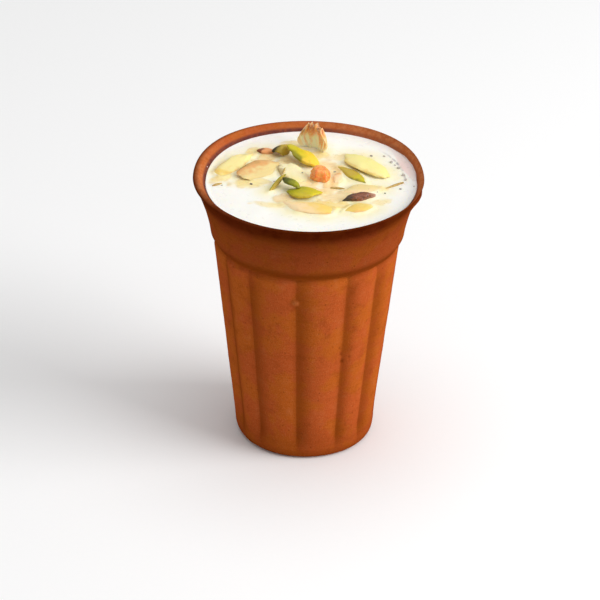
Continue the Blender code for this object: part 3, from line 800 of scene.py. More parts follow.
def slice_finish(paint, look, gloss):
    """A thin cut flake: two colours that run into each other, a darker rim and a fine grain."""
    finish = Finish(paint.node, {"Roughness": 0.42, **soaked(0.25, 0.001, (1.0, 0.7, 0.3)),
                                 "Specular IOR Level": 0.28, "Coat Weight": gloss,
                                 "Coat Roughness": 0.25})
    first, second, rim = (tuple(getattr(look, key))
                          for key in (paint.first, paint.second, paint.rim))
    heading = SLICES[paint.node].heading
    place = finish.add("ShaderNodeCombineXYZ", {"X": finish.mark("along"),
                                                "Y": finish.mark("across")}).outputs["Vector"]
    grain = finish.mottle(0.16, 3.0, finish.stretched(place, (0.2, 1.0, 1.0)))
    wander = finish.between(finish.mottle(3.0, 1.0), 0.25, 0.75, -0.25, 0.25)
    way = finish.sum(finish.towards(paint.way - heading), "ADD", wander)
    facing = finish.sum(finish.towards(paint.rim_way - heading), "ADD", wander)
    finish.paint = finish.blend(finish.between(way, paint.start, paint.end), first, second)
    finish.lay(finish.between(grain, 0.52, 0.75, 0.0, 0.3), second)
    # The rim on the side the slice faces; a pistachio_dark rim is painted shade.
    finish.lay(finish.between(facing, 0.5, 1.1, 0.0, 0.7), rim)
    finish.lay(finish.between(finish.mark("edge"), 0.86, 1.0, 0.0, paint.ring), rim)
    if paint.specks > 0.0:
        specks = finish.between(finish.cells(1.9), 0.05, 0.14, 0.7 * paint.specks, 0.0)
        finish.lay(specks, FLAKE_SPECK)
    finish.rough(finish.mottle(1.8), 0.3, 0.7, 0.34, 0.52)
    return finish.done((grain, 0.07), (finish.mottle(0.5), 0.06))


def candied_finish(look):
    """Candied fruit: glowing orange, redder inside, sticky and faintly sugared."""
    finish = Finish("candied orange", {"Roughness": 0.22, **soaked(0.5, 0.002, (1.0, 0.35, 0.12)),
                                       "Coat Weight": 0.25, "Coat Roughness": 0.15})
    flesh = finish.mottle(1.8, 4.0)
    sugar = finish.mottle(0.5)
    finish.paint = finish.blend(finish.between(flesh, 0.42, 0.66), look.candied, CANDIED_HEART)
    finish.lay(finish.between(sugar, 0.6, 0.75, 0.0, 0.4), SUGAR)
    finish.rough(sugar, 0.4, 0.7, 0.2, 0.45)
    return finish.done((flesh, 0.3), (sugar, 0.08))


def raisin_finish(look):
    """A raisin: maroon, waxy, nearly black at one end, with painted shade in its wrinkles."""
    finish = Finish("raisin skin", {"Roughness": 0.35, "Coat Weight": 0.2, "Coat Roughness": 0.2})
    wrinkle = finish.mottle(0.9, 4.0, finish.stretched(finish.mm, (0.5, 1.4, 1.2)))
    # Painted shade, nearly black, in the wrinkles.
    finish.paint = finish.blend(finish.between(wrinkle, 0.3, 0.6), RAISIN_WRINKLE_SHADE, look.raisin)
    finish.lay(finish.between(finish.mark("across"), -0.1, 0.7, 0.0, 0.55), RAISIN_TOP)
    finish.lay(finish.between(finish.mark("along"), -0.8, -0.1, 0.9, 0.0), RAISIN_END)
    finish.lay(finish.between(finish.mark("along"), 0.45, 0.95, 0.0, 0.85), RAISIN_TIP)
    finish.rough(wrinkle, 0.3, 0.7, 0.45, 0.25)
    return finish.done((wrinkle, 0.5))


def cream_finish(look):
    """Clotted cream: pale in its folds, browned on its ridges and along its ragged top."""
    finish = Finish("clotted cream", {"Roughness": 0.45, **soaked(0.8, 0.002, (1.0, 0.85, 0.6)),
                                      "Specular IOR Level": 0.3})
    crumb = finish.mottle(0.7, 4.0)
    ridge = finish.between(finish.mark("ridge"), 0.15, 0.55, 0.0, 0.95)
    right = finish.between(finish.mark("across"), 0.05, 0.5, 0.7, 1.0)
    high = finish.between(finish.mark("up"), 0.15, 0.5, 0.3, 1.0)
    top = finish.between(finish.mark("up"), 0.58, 0.8, 0.0, 0.95)
    brown = finish.sum(finish.times(finish.times(ridge, right), high), "MAXIMUM", top)
    brown = finish.times(brown, finish.between(crumb, 0.3, 0.55, 0.6, 1.0))
    finish.paint = finish.blend(brown, look.cream, look.cream_brown)
    finish.lay(finish.between(finish.mark("up"), 0.8, 1.0, 0.0, 0.6), CREAM_TIP)
    finish.rough(crumb, 0.3, 0.7, 0.38, 0.55)
    return finish.done((crumb, 0.2), (finish.mottle(0.3), 0.05))


def strand_finish(look):
    """A saffron strand: streaked and slightly glossy."""
    finish = Finish("saffron", {"Roughness": 0.45, "Specular IOR Level": 0.4})
    fibre = finish.mottle(0.7)
    finish.paint = finish.blend(finish.between(fibre, 0.35, 0.65), look.saffron, look.nut_skin)
    return finish.done((fibre, 0.12))


def speck_finish():
    """Ground spice: from grey brown to nearly black, speck by speck."""
    finish = Finish("spice speck", {"Roughness": 0.5, "Specular IOR Level": 0.4})
    grain = finish.mottle(0.4)
    finish.paint = finish.blend(finish.mark("black"), SPECK_PALE, SPECK_BLACK)
    finish.lay(finish.between(grain, 0.4, 0.7, 0.0, 0.5), SPECK_GRAIN)
    return finish.done((grain, 0.1))


def floor_finish(look):
    """Pale studio card with a faint tooth."""
    finish = Finish("studio floor", {"Roughness": 0.9, "Specular IOR Level": 0.1})
    tooth = finish.mottle(2.0)
    shade = [FLOOR_SHADE * value for value in look.floor]
    finish.paint = finish.blend(tooth, look.floor, shade)
    return finish.done((tooth, 0.02))


# The turned forms

def body_radius(z):
    """The plain taper of the body, from the top of the foot's rounding to the crease."""
    share = np.maximum((z - FOOT_ROUNDING) / (CREASE_Z - FOOT_ROUNDING), 0.0)
    return FOOT_RADIUS + (CREASE_RADIUS - FOOT_RADIUS) * share


def outer_radius(z):
    """The outside of the cup at height z, before the flutes are pressed in."""
    z = np.asarray(z, dtype=float)
    crease = CREASE_DEPTH * bump(z - CREASE_Z, CREASE_REACH)
    drop = np.clip(1.0 - z / FOOT_ROUNDING, 0.0, 1.0)
    tuck = FOOT_ROUNDING * FOOT_TUCK * (1.0 - np.sqrt(1.0 - drop * drop))
    step = COLLAR_STEP * ease((z - CREASE_Z) / COLLAR_STEP_HEIGHT)
    share = np.clip((z - CREASE_Z) / (HEIGHT - CREASE_Z), 0.0, 1.0)
    flare = (RIM_RADIUS - CREASE_RADIUS - COLLAR_STEP) * share ** COLLAR_FLARE_POWER
    collar = CREASE_RADIUS + step + flare
    return np.where(z <= CREASE_Z, body_radius(z) - tuck, collar) - crease


def inner_radius(z):
    """The inside of the cup at height z."""
    z = np.asarray(z, dtype=float)
    body = body_radius(np.minimum(z, CREASE_Z)) - WALL
    rise = 1.0 - np.clip((z - FLOOR_Z) / FLOOR_ROUNDING, 0.0, 1.0)
    body = body - FLOOR_ROUNDING * (1.0 - np.sqrt(1.0 - rise * rise))
    top = float(body_radius(CREASE_Z)) - WALL
    mouth = float(outer_radius(MOUTH_Z)) - WALL
    lip = RIM_RADIUS - 2.0 * LIP_ROUNDING
    above = np.interp(z, (CREASE_Z, MOUTH_Z, LEVEL_Z, HEIGHT), (top, mouth, LEVEL_RADIUS, lip))
    return np.where(z > CREASE_Z, above, body)


def bore_offset(z):
    """Sideways shift of the inside, which was thrown a little off the cup's centre."""
    return BORE_SHIFT * ease((z - BORE_SHIFT_START_Z) / (LEVEL_Z - BORE_SHIFT_START_Z))


def flute_bearings():
    """For each column, its share of the way across its flute and its bearing."""
    flute = np.arange(FLUTES + 1)
    groove = FIRST_GROOVE + flute * 2.0 * pi / FLUTES + np.resize(GROOVE_WANDER, FLUTES + 1)
    share = np.arange(COLUMNS_PER_FLUTE) / COLUMNS_PER_FLUTE
    bearing = groove[:-1, None] + (groove[1:] - groove[:-1])[:, None] * share
    return np.tile(share, FLUTES), bearing.ravel()


def rim_roll(bearing, z):
    """How far the rolled part of the rim stands out from the flare."""
    bearing = bearing % (2.0 * pi)
    around = ease((bearing - ROLL_START) / (ROLL_FULL - ROLL_START))
    around = around * ease((ROLL_END - bearing) / ROLL_TAIL)
    below = ease((z - ROLL_BOTTOM_Z) / (ROLL_PEAK_Z - ROLL_BOTTOM_Z))
    above = (HEIGHT - z) / (HEIGHT - ROLL_PEAK_Z)
    return ROLL_DEPTH * around * np.clip(np.where(z < ROLL_PEAK_Z, below, above), 0.0, 1.0)


def mouth_swell(bearing, z):
    """How far the collar and the mouth bulge out, on both sides of the back."""
    around = np.sin(2.0 * bearing) ** 2 + np.cos(bearing) ** 2
    return np.where(np.cos(bearing) > 0.0, 0.0, SWELL * around
                    * ease((z - CREASE_Z) / (HEIGHT - CREASE_Z)))


def wall_profile():
    """Heights down the outside, from the lip to the foot."""
    high, low = CREASE_Z + CREASE_REACH, CREASE_Z - CREASE_REACH
    collar = evenly(HEIGHT - 1.4 * LIP_ROUNDING, high, WALL_ROW)
    crease = evenly(high, low, CREASE_ROW)[1:]
    body = evenly(low, FOOT_ROUNDING, WALL_ROW)[1:]
    foot = FOOT_ROUNDING * np.cos(np.linspace(0.0, pi / 2.0, FOOT_ROWS))[1:]
    return np.concatenate([collar, crease, body, foot])


def lip_profile():
    """Over the lip, from its inner edge to its outer edge."""
    turn = np.radians(np.linspace(165.0, 0.0, LIP_ROWS))
    return (RIM_RADIUS - LIP_ROUNDING + LIP_ROUNDING * np.cos(turn),
            HEIGHT - LIP_ROUNDING + LIP_ROUNDING * np.sin(turn))


def bore_profile():
    """Heights up the inside, from the edge of the floor to the lip."""
    turn = np.linspace(0.0, pi / 2.0, CORNER_ROWS)
    corner = FLOOR_Z + FLOOR_ROUNDING * (1.0 - np.cos(turn))
    wall = evenly(FLOOR_Z + FLOOR_ROUNDING, MOUTH_Z, BORE_ROW)[1:]
    mouth = evenly(MOUTH_Z, LEVEL_Z, MOUTH_ROW)[1:]
    inside = evenly(LEVEL_Z, HEIGHT - 1.6 * LIP_ROUNDING, INSIDE_ROW)[1:]
    return np.concatenate([corner, wall, mouth, inside])


def clay_marks(bearing, z, radius):
    """How far the pits and the pimple push the wall in at each point."""
    push = np.zeros_like(z)
    for mark in CLAY_MARKS:
        apart = (bearing - radians(mark.bearing) + pi) % (2.0 * pi) - pi
        gap = np.hypot(apart * radius, z - mark.height * MM) / (mark.radius * MM)
        push += mark.depth * MM * ease(1.0 - gap)
    return push


class LASSI_OT_clay_cup(bpy.types.Operator):
    """Turn, flute and finish the terracotta cup"""

    bl_idname = "lassi.clay_cup"
    bl_label = "Clay Cup"

    def execute(self, context):
        look = context.scene.lassi_cup
        share, bearing = flute_bearings()
        bore, wall = bore_profile(), wall_profile()
        lip_r, lip_z = lip_profile()
        profile_r = np.concatenate([inner_radius(bore), lip_r, outer_radius(wall)])
        profile_z = np.concatenate([bore, lip_z, wall])
        outside = np.concatenate([np.zeros(len(bore)), ease(np.linspace(0.0, 1.0, len(lip_r))),
                                  np.ones(len(wall))])
        rows, columns = len(profile_z), len(share)
        angle, z = np.meshgrid(bearing, profile_z)
        outer, radius = outside[:, None], profile_r[:, None]
        inset = look.flute_depth * self.hollow(share, z) * outer
        inset = inset + SEAM_DEPTH * bump(z - SEAM_Z, SEAM_REACH) - rim_roll(angle, z)
        inset += self.thumbed(share, z) + clay_marks(angle, z, radius)
        inset += self.unevenness(look, angle, z)
        radius = radius - inset * outer + mouth_swell(angle, z)
        points = round_axis(radius, angle, z, bore_offset(z) * (1.0 - outer)).tolist()
        middle = len(points)
        points += [(0.0, 0.0, FLOOR_Z), (0.0, 0.0, 0.0)]
        faces = grid_faces(rows, columns, True)
        faces += cap_faces(middle, 0, columns, False)
        faces += cap_faces(middle + 1, (rows - 1) * columns, columns, True)
        marks = {title: np.append(values.ravel(), (0.0, 0.0))
                 for title, values in self.marks(share, angle, z, outer).items()}
        make_piece("clay_cup_turned", points, faces, terracotta_finish(look),
                   ("clay_cup",), marks, crease=50.0)
        return {"FINISHED"}

    def hollow(self, share, z):
        """How far into its groove each point is, from 0 on the crowns to 1."""
        across = 1.0 - np.hypot(np.sin(pi * share), GROOVE_ROUNDING) ** FLUTE_ROUNDNESS
        top = FLUTE_TOP_SHARE + (1.0 - FLUTE_TOP_SHARE) * ease((CREASE_Z - z) / FLUTE_FADE)
        pressed = np.where(z > CREASE_Z, 0.0, top * ease(z / FLUTE_FOOT_FADE))
        return across[None, :] * pressed

    def thumbed(self, share, z):
        """The extra depth at the top of each groove, just under the collar."""
        across = (1.0 - np.sin(pi * share)) ** 2
        depth = ease(1.0 - (CREASE_Z - z) / THUMB_REACH)
        return THUMB_DEPTH * across[None, :] * np.where(z > CREASE_Z, 0.0, depth)

    def unevenness(self, look, angle, z):
        """The wheel's ripples and the wander of the wall, which fade out towards the lip."""
        along, across = np.sin(angle), np.cos(angle)
        wander = soft_noise(along * WANDER_PACE, -across * WANDER_PACE,
                            z / WANDER_HEIGHT * WANDER_PACE)
        rings = soft_noise(along * RIPPLE_PACE, across * RIPPLE_PACE, z / RIPPLE_HEIGHT)
        uneven = look.wobble * (0.5 - wander / 2.0) + look.ripple * (0.5 - rings / 2.0)
        return ease((HEIGHT - z) / CALM_AT_LIP) * uneven

    def marks(self, share, angle, z, outer):
        """Where painted shade and painted light go on the clay, and the dark band above the drink.
        """
        front = np.cos(angle)
        # Painted shade under the rim, stronger at the front, reaching over the lip inside the
        # front.
        damp = np.interp(HEIGHT - z, RIM_SHADE_DEPTHS, RIM_SHADE_SHARES) * (RIM_SHADE_MEAN + RIM_SHADE_FRONT * front)
        damp = damp * np.maximum(outer, RIM_SHADE_INSIDE * ease(1.5 * front))
        above = z - LEVEL_Z
        # A darker band on the inner wall just above the drink, fainter on the right.
        wet = ease((WATERLINE - above) / WATERLINE_FADE) * (1.0 - outer)
        wet = wet * (1.0 - WATERLINE_LOSS * ease(2.0 * np.sin(angle)))
        # Paler inner lip: partly its own colour, partly painted light where the wall is shaded.
        pale_lip = np.interp(np.degrees(angle) % 360.0, PALE_LIP_BEARINGS, PALE_LIP_SHARES)
        inside = pale_lip * ease(above / PALE_LIP_FADE) * (1.0 - ease((outer - 0.5) * 2.0))
        # Painted shade on both sides of each groove, round the seam, in the pits and towards the
        # foot.
        across = (GROOVE_SHADE * ease(1.0 - share / GROOVE_SHADE_WIDTH)
                  + FAR_GROOVE_SHADE * ease((share - FAR_GROOVE_START) / FAR_GROOVE_WIDTH))
        down = ease((CREASE_Z - z) / FLUTE_FADE)
        below = COLLAR_SHADE_SHARE + (1.0 - COLLAR_SHADE_SHARE) * down
        below = np.where(z > CREASE_Z, 0.0, below)
        pressed = clay_marks(angle, z, BODY_RADIUS)
        hollow = across[None, :] * below * ease(z / FLUTE_FOOT_FADE)
        hollow = hollow + SEAM_SHADE * bump(z - SEAM_Z, SEAM_SHADE_REACH)
        hollow = hollow + PIT_SHADE * ease(pressed / PIT_SHADE_DEPTH)
        hollow = hollow + FOOT_SHADE * bump(z, FOOT_SHADE_HEIGHT)
        hollow = hollow + FOOT_EDGE_SHADE * bump(z, FOOT_ROUNDING)
        # A painted highlight on the pimple.
        rubbed = inside + PIMPLE_HIGHLIGHT * outer * ease(pressed / -PIMPLE_HIGHLIGHT_HEIGHT)
        return {"hollow": np.clip(hollow, 0.0, 1.0) * outer, "rubbed": rubbed,
                "damp": damp, "wet": wet}


# Garnish

def chopped(spec, turn):
    """How far out a slice reaches at each turn, once the knife has cut its outline flat."""
    reach = np.full(len(turn), UNCUT_REACH)
    for i in range(CHOPS):
        chance = noise.cell_vector(Vector((spec.x, spec.y, i + 0.5)))
        facing = (i + chance.x) * 2.0 * pi / CHOPS
        cut = CHOP_START - CHOP_DEPTH * chance.y
        reach = np.minimum(reach, cut / np.maximum(np.cos(turn - facing), CHOP_STEEPEST))
    return reach


def slice_points(spec, segments, rings, detail):
    """Points of a slice, and where each lies: along, across and out towards its edge."""
    turn = full_turn(segments)
    polar = np.arange(1, rings) / rings * pi
    around = np.sin(polar)[:, None] ** SLICE_FLATNESS
    around = around * chopped(spec, turn)
    x = np.append((around * np.cos(turn)).ravel(), (0.0, 0.0))
    y = np.append((around * np.sin(turn)).ravel(), (0.0, 0.0))
    z = np.append(np.repeat(np.cos(polar)[:, None], segments, axis=1).ravel(), (1.0, -1.0))
    narrow = 1.0 - spec.point * (ease(x) + NEAR_POINT_SHARE * ease(-x))
    arch = spec.bend * (0.5 - x * x) + spec.curl * (0.5 - y * y)
    pace = OUTLINE_WANDER_PACE
    wander = 1.0 + OUTLINE_WANDER * soft_noise(x * pace, y * pace, spec.x + z)
    px = x * spec.length / 2.0 * wander
    py = y * spec.width / 2.0 * narrow * wander
    pz = z * spec.thick / 2.0 + arch
    place = np.stack([px, py, pz + spec.y])
    edge = np.hypot(x, y)
    ragged = detail * soft_noise(*(place * RAGGED_PACE)) * edge ** 2
    waves = WAVE_SHARE * detail * soft_noise(px * WAVE_PACE + spec.x, py * WAVE_PACE + spec.x,
                                             spec.x)
    pitted = PIT_SHARE * detail * soft_noise(*(place * PIT_PACE))
    points = np.stack([px + ragged * x, py + ragged * y, pz + waves + pitted * z], axis=1)
    return points * MM, {"along": x, "across": y, "edge": edge}


def lie(points, spec):
    """Points of a slice, moved to its place on the drink, its bearing and its tilt."""
    turn = Euler((radians(spec.lean), radians(-spec.pitch), radians(spec.heading)), "XYZ")
    return moved(points, (spec.x * MM, spec.y * MM, LEVEL_Z + spec.rise * MM), turn)


def slice_faces(segments, rings):
    """Faces of a slice: bands of quads, closed at the top and the bottom."""
    top = (rings - 1) * segments
    return (turned_over(grid_faces(rings - 1, segments, True))
            + cap_faces(top, 0, segments, False)
            + cap_faces(top + 1, (rings - 2) * segments, segments, True))


def lay_slice(spec, finish, nodes=None, segments=80, rings=28, detail=0.14):
    """Make one slice of garnish where it lies."""
    points, marks = slice_points(spec, segments, rings, detail)
    nodes = (spec.name,) if nodes is None else nodes
    return make_piece(spec.name + "_dressed", lie(points, spec), slice_faces(segments, rings),
                      finish, nodes, marks)


def lay_cut(paints, look, gloss):
    """Lay the slice that each paint is for."""
    for paint in paints:
        lay_slice(SLICES[paint.node], slice_finish(paint, look, gloss))


class LASSI_OT_almond_flakes(bpy.types.Operator):
    """Lay the flakes of almond"""

    bl_idname = "lassi.almond_flakes"
    bl_label = "Almond Flakes"

    def execute(self, context):
        lay_cut(FLAKES, context.scene.lassi_garnish, FLAKE_GLOSS)
        return {"FINISHED"}


class LASSI_OT_pistachio_slices(bpy.types.Operator):
    """Lay the cut pistachios"""

    bl_idname = "lassi.pistachio_slices"
    bl_label = "Pistachio Slices"

    def execute(self, context):
        lay_cut(PISTACHIOS, context.scene.lassi_garnish, PISTACHIO_GLOSS)
        return {"FINISHED"}


class LASSI_OT_candied_fruit(bpy.types.Operator):
    """Lay the candied orange piece, the orange sliver and the raisin"""

    bl_idname = "lassi.candied_fruit"
    bl_label = "Candied Fruit and Raisin"

    def execute(self, context):
        look = context.scene.lassi_garnish
        lay_slice(SLICES["candied_orange_piece"], candied_finish(look),
                  detail=0.35)
        lay_cut((SLIVER,), look, SLIVER_GLOSS)
        lay_slice(SLICES["raisin"], raisin_finish(look), detail=0.35)
        return {"FINISHED"}


class LASSI_OT_cream_shard(bpy.types.Operator):
    """Stand the ridged shard of clotted cream"""

    bl_idname = "lassi.cream_shard"
    bl_label = "Cream Shard"

    def execute(self, context):
        front, marks = self.sheet(-1.0)
        back, back_marks = self.sheet(1.0)
        count = len(front)
        faces = grid_faces(SHARD_ROWS, SHARD_COLUMNS, False)
        faces += turned_over(faces, count) + self.rim(count)
        points = moved(np.concatenate([front, back]), (*SHARD_PLACE, LEVEL_Z),
                       Euler((SHARD_LEAN, 0.0, SHARD_HEADING), "XYZ"))
        marks = {title: np.concatenate([marks[title], back_marks[title]]) for title in marks}
        make_piece("cream_shard_dressed", points, faces,
                   cream_finish(context.scene.lassi_garnish),
                   ("cream_shard",), marks)
        return {"FINISHED"}

    def sheet(self, side):
        """One face of the shard, and where its ridges are."""
        across, up = np.meshgrid(np.linspace(-1.0, 1.0, SHARD_COLUMNS),
                                 np.linspace(0.0, 1.0, SHARD_ROWS))
        across, up = across.ravel(), up.ravel()
        half = (SHARD_WIDTH + SHARD_BELLY * np.sin(pi * up ** SHARD_BELLY_POWER)) / 2.0
        half = half + SHARD_FLARE * up ** 2
        ragged = SHARD_RAGGED * soft_noise(across * SHARD_RAGGED_PACE, 0.0,
                                           side * SHARD_SIDE_SHIFT)
        ragged -= SHARD_TIPS * np.abs(soft_noise(across * SHARD_TIP_PACE, 3.0, 0.0))
        height = (SHARD_HEIGHT + ragged - SHARD_SHOULDER * across ** 6 + SHARD_SUNK) * up
        ridge = 0.5 - 0.5 * np.cos(SHARD_RIDGES * pi * across + SHARD_SLANT * up + side)
        rib = SHARD_RIB_TOP - SHARD_RIB_FALL * np.abs(soft_noise(
            across * SHARD_RIB_PACE + up * SHARD_RIB_SLANT, up * SHARD_RIB_RISE, side))
        rib = np.clip(rib, 0.0, 1.0) * (1.0 - bump(across - SHARD_VALLEY, SHARD_VALLEY_REACH))
        crumb = soft_noise(across * SHARD_CRUMB_PACE, up * SHARD_CRUMB_RISE, side)
        edge = np.sqrt(1.0 - SHARD_EDGE_THINNING * across ** 2)
        thick = SHARD_THICK / 2.0 + SHARD_RIDGE * ridge * up
        thick = (thick + (SHARD_RIB * rib + SHARD_CRUMB * crumb) * up) * edge
        x = across * half
        y = side * thick - SHARD_FOLD * across ** 2
        fin = 0.5 + 0.5 * np.cos(SHARD_FINS * pi * across + SHARD_FIN_SLANT * up)
        fin = fin * ease((across - SHARD_FIN_START) / SHARD_FIN_FADE)
        ridges = np.clip(0.2 * ridge + 1.3 * rib + 0.2 * crumb + fin, 0.0, 1.0)
        marks = {"ridge": ridges, "up": up, "across": across}
        return np.stack([x, y, height - SHARD_SUNK], axis=1), marks

    def rim(self, count):
        """Faces round the edge, which join the two sides."""
        index = np.arange(count).reshape(SHARD_ROWS, SHARD_COLUMNS)
        edge = np.concatenate([index[0], index[1:, -1], index[-1, -2::-1], index[-2:0:-1, 0]])
        edge = edge.tolist()
        return [(b, a, a + count, b + count) for a, b in zip(edge, edge[1:] + edge[:1])]


class LASSI_OT_strands_and_specks(bpy.types.Operator):
    """Lay the saffron strands and the dark specks on the drink"""

    bl_idname = "lassi.strands_and_specks"
    bl_label = "Strands and Specks"

    def execute(self, context):
        look = context.scene.lassi_garnish
        saffron = strand_finish(look)
        for spec in STRANDS:
            lay_slice(spec, saffron, (), segments=32, rings=12, detail=0.2)
        segments, rings = 14, 8
        points, faces, black = [], [], []
        for x, y, radius, share in SPECKS:
            sizes = [radius * factor for factor in SPECK_SHAPE]
            rise = SPECK_RISE_ON_FLAKE if self.on_flake(x, y) else SPECK_RISE
            spec = Slice("speck", x, y, *sizes, x * SPECK_TURN, rise, 0, 0, 0.3, 0, 0)
            made, _ = slice_points(spec, segments, rings, detail=0.2)
            start = len(points)
            points += lie(made, spec)
            faces += [tuple(start + i for i in face) for face in slice_faces(segments, rings)]
            black += [share] * len(made)
        make_piece("spice_specks", points, faces, speck_finish(), (), {"black": black})
        return {"FINISHED"}

    def on_flake(self, x, y):
        """Whether a speck lies on the cream flake in the middle."""
        flake = SLICES["cream_flake_centre"]
        return np.hypot(x - flake.x, y - flake.y) < SPECK_FLAKE_REACH


# The drink

class LASSI_OT_drink(bpy.types.Operator):
    """Pour the lassi, which clings to the cup and to the garnish"""

    bl_idname = "lassi.drink"
    bl_label = "Lassi"

    def execute(self, context):
        look = context.scene.lassi_drink
        pieces = [o for o in bpy.data.objects
                  if o.name.endswith("_dressed") and not o.name.startswith("strand")]
        if not pieces:
            raise RuntimeError("lay the garnish before the drink")
        share = np.linspace(0.0, 1.0, DRINK_RINGS + 1)[1:, None]
        bearing = full_turn(DRINK_COLUMNS)[None, :]
        edge = LEVEL_RADIUS + mouth_swell(bearing, LEVEL_Z)
        radius = edge * (1.0 - (1.0 - share) ** DRINK_PACKING)
        from_wall = (edge - radius).ravel()
        angle = np.repeat(bearing, DRINK_RINGS, axis=0).ravel()
        x = radius.ravel() * np.sin(angle) + BORE_SHIFT
        y = -radius.ravel() * np.cos(angle)
        near = self.distance_to(pieces, x, y)
        sunk, warm, outline = self.sunken(x, y)
        swell = DRINK_SWELL * soft_noise(x / DRINK_SWELL_PACE, y / DRINK_SWELL_PACE, 0.0)
        z = LEVEL_Z + (swell + SUNK_LIFT * sunk) * ease(from_wall / DRINK_STILL_AT_WALL)
        z = z + look.meniscus * fall(from_wall, CLIMB_REACH) + look.cling * fall(near, CLIMB_REACH)
        blush, froth = self.skin(angle, from_wall)
        points = np.stack([x, y, z], axis=1).tolist()
        faces = turned_over(grid_faces(DRINK_RINGS, DRINK_COLUMNS, True))
        top = len(points)
        points.append((BORE_SHIFT, 0.0, LEVEL_Z))
        faces += cap_faces(top, 0, DRINK_COLUMNS, False)
        side, side_faces = self.side(bearing.ravel(), top + 1, (DRINK_RINGS - 1) * DRINK_COLUMNS)
        points += side
        faces += side_faces
        spare = np.zeros(len(points) - top)
        tint = fall(near, look.tint_reach) ** TINT_POWER
        marks = {"outline": outline, "tint": tint, "sunk": sunk, "warm": warm, "blush": blush,
                 "froth": froth}
        marks = {title: np.append(values, spare) for title, values in marks.items()}
        make_piece("lassi_poured", points, faces, drink_finish("lassi", look),
                   ("lassi",), marks)
        return {"FINISHED"}

    def distance_to(self, pieces, x, y):
        """How far each point of the level drink is from the nearest piece of garnish."""
        points, faces = [], []
        for piece in pieces:
            start = len(points)
            points += [vertex.co.copy() for vertex in piece.data.vertices]
            faces += [[start + i for i in face.vertices] for face in piece.data.polygons]
        tree = BVHTree.FromPolygons(points, faces)
        return np.array([tree.find_nearest(Vector((a, b, LEVEL_Z)))[3] for a, b in zip(x, y)])

    def sunken(self, x, y):
        """How clearly a sunken flake shows at each point, how warm it is, and where its rim is."""
        sunk, warm, outline = np.zeros_like(x), np.zeros_like(x), np.zeros_like(x)
        wander = soft_noise(x / SUNK_WANDER_PACE, y / SUNK_WANDER_PACE, 0.0)
        for flake in SUNKEN:
            turn = radians(flake.heading)
            a, b = x / MM - flake.x, y / MM - flake.y
            along = (a * cos(turn) + b * sin(turn)) / (flake.length / 2.0)
            across = (b * cos(turn) - a * sin(turn)) / (flake.width / 2.0)
            inside = SUNK_REACH + SUNK_WANDER * wander - np.hypot(along, across)
            share = SUNK_STRENGTH * flake.strength * ease(inside / SUNK_FADE)
            warm = np.where(share > sunk, flake.warm, warm)
            sunk = np.maximum(sunk, share)
            rim = bump(inside - SUNK_RIM, SUNK_RIM_REACH) * ease(0.5 + 2.0 * wander)
            outline = np.maximum(outline, flake.strength * rim)
        return np.minimum(sunk, 1.0), warm, outline

    def skin(self, angle, from_wall):
        """The blushed skin beside the wall, and the broken line of painted shadow at its inner
        edge.
        """
        right = bump(angle - SKIN_BEARING, SKIN_SPREAD)
        width = SKIN_WIDTH + SKIN_BULGE * right
        blush = SKIN_STRENGTH + SKIN_BULGE_STRENGTH * right
        blush = blush * ease((width - from_wall) / SKIN_FADE)
        back = ease(-BACK_SKIN_SPREAD * np.cos(angle)) * ease(1.0 - from_wall / BACK_SKIN_WIDTH)
        blush = np.maximum(blush, BACK_SKIN_STRENGTH * back)
        return blush, right * bump(from_wall - EDGE_SHADOW_FROM_WALL, EDGE_SHADOW_REACH)

    def side(self, bearing, start, edge):
        """The hidden side of the drink, from its edge down the wall to the floor."""
        heights = bore_profile()
        heights = heights[heights < LEVEL_Z - DRINK_EDGE_HEIGHT][::-1]
        angle, z = np.meshgrid(bearing, heights)
        radius = inner_radius(z) - DRINK_GAP + mouth_swell(angle, z)
        points = round_axis(radius, angle, z + DRINK_GAP, bore_offset(z)).tolist()
        count = len(bearing)
        faces = [(edge + (i + 1) % count, edge + i, start + i, start + (i + 1) % count)
                 for i in range(count)]
        faces += turned_over(grid_faces(len(heights), count, True), start)
        bottom = start + len(points)
        points.append((0.0, 0.0, FLOOR_Z + DRINK_GAP))
        faces += cap_faces(bottom, start + (len(heights) - 1) * count, count, True)
        return points, faces


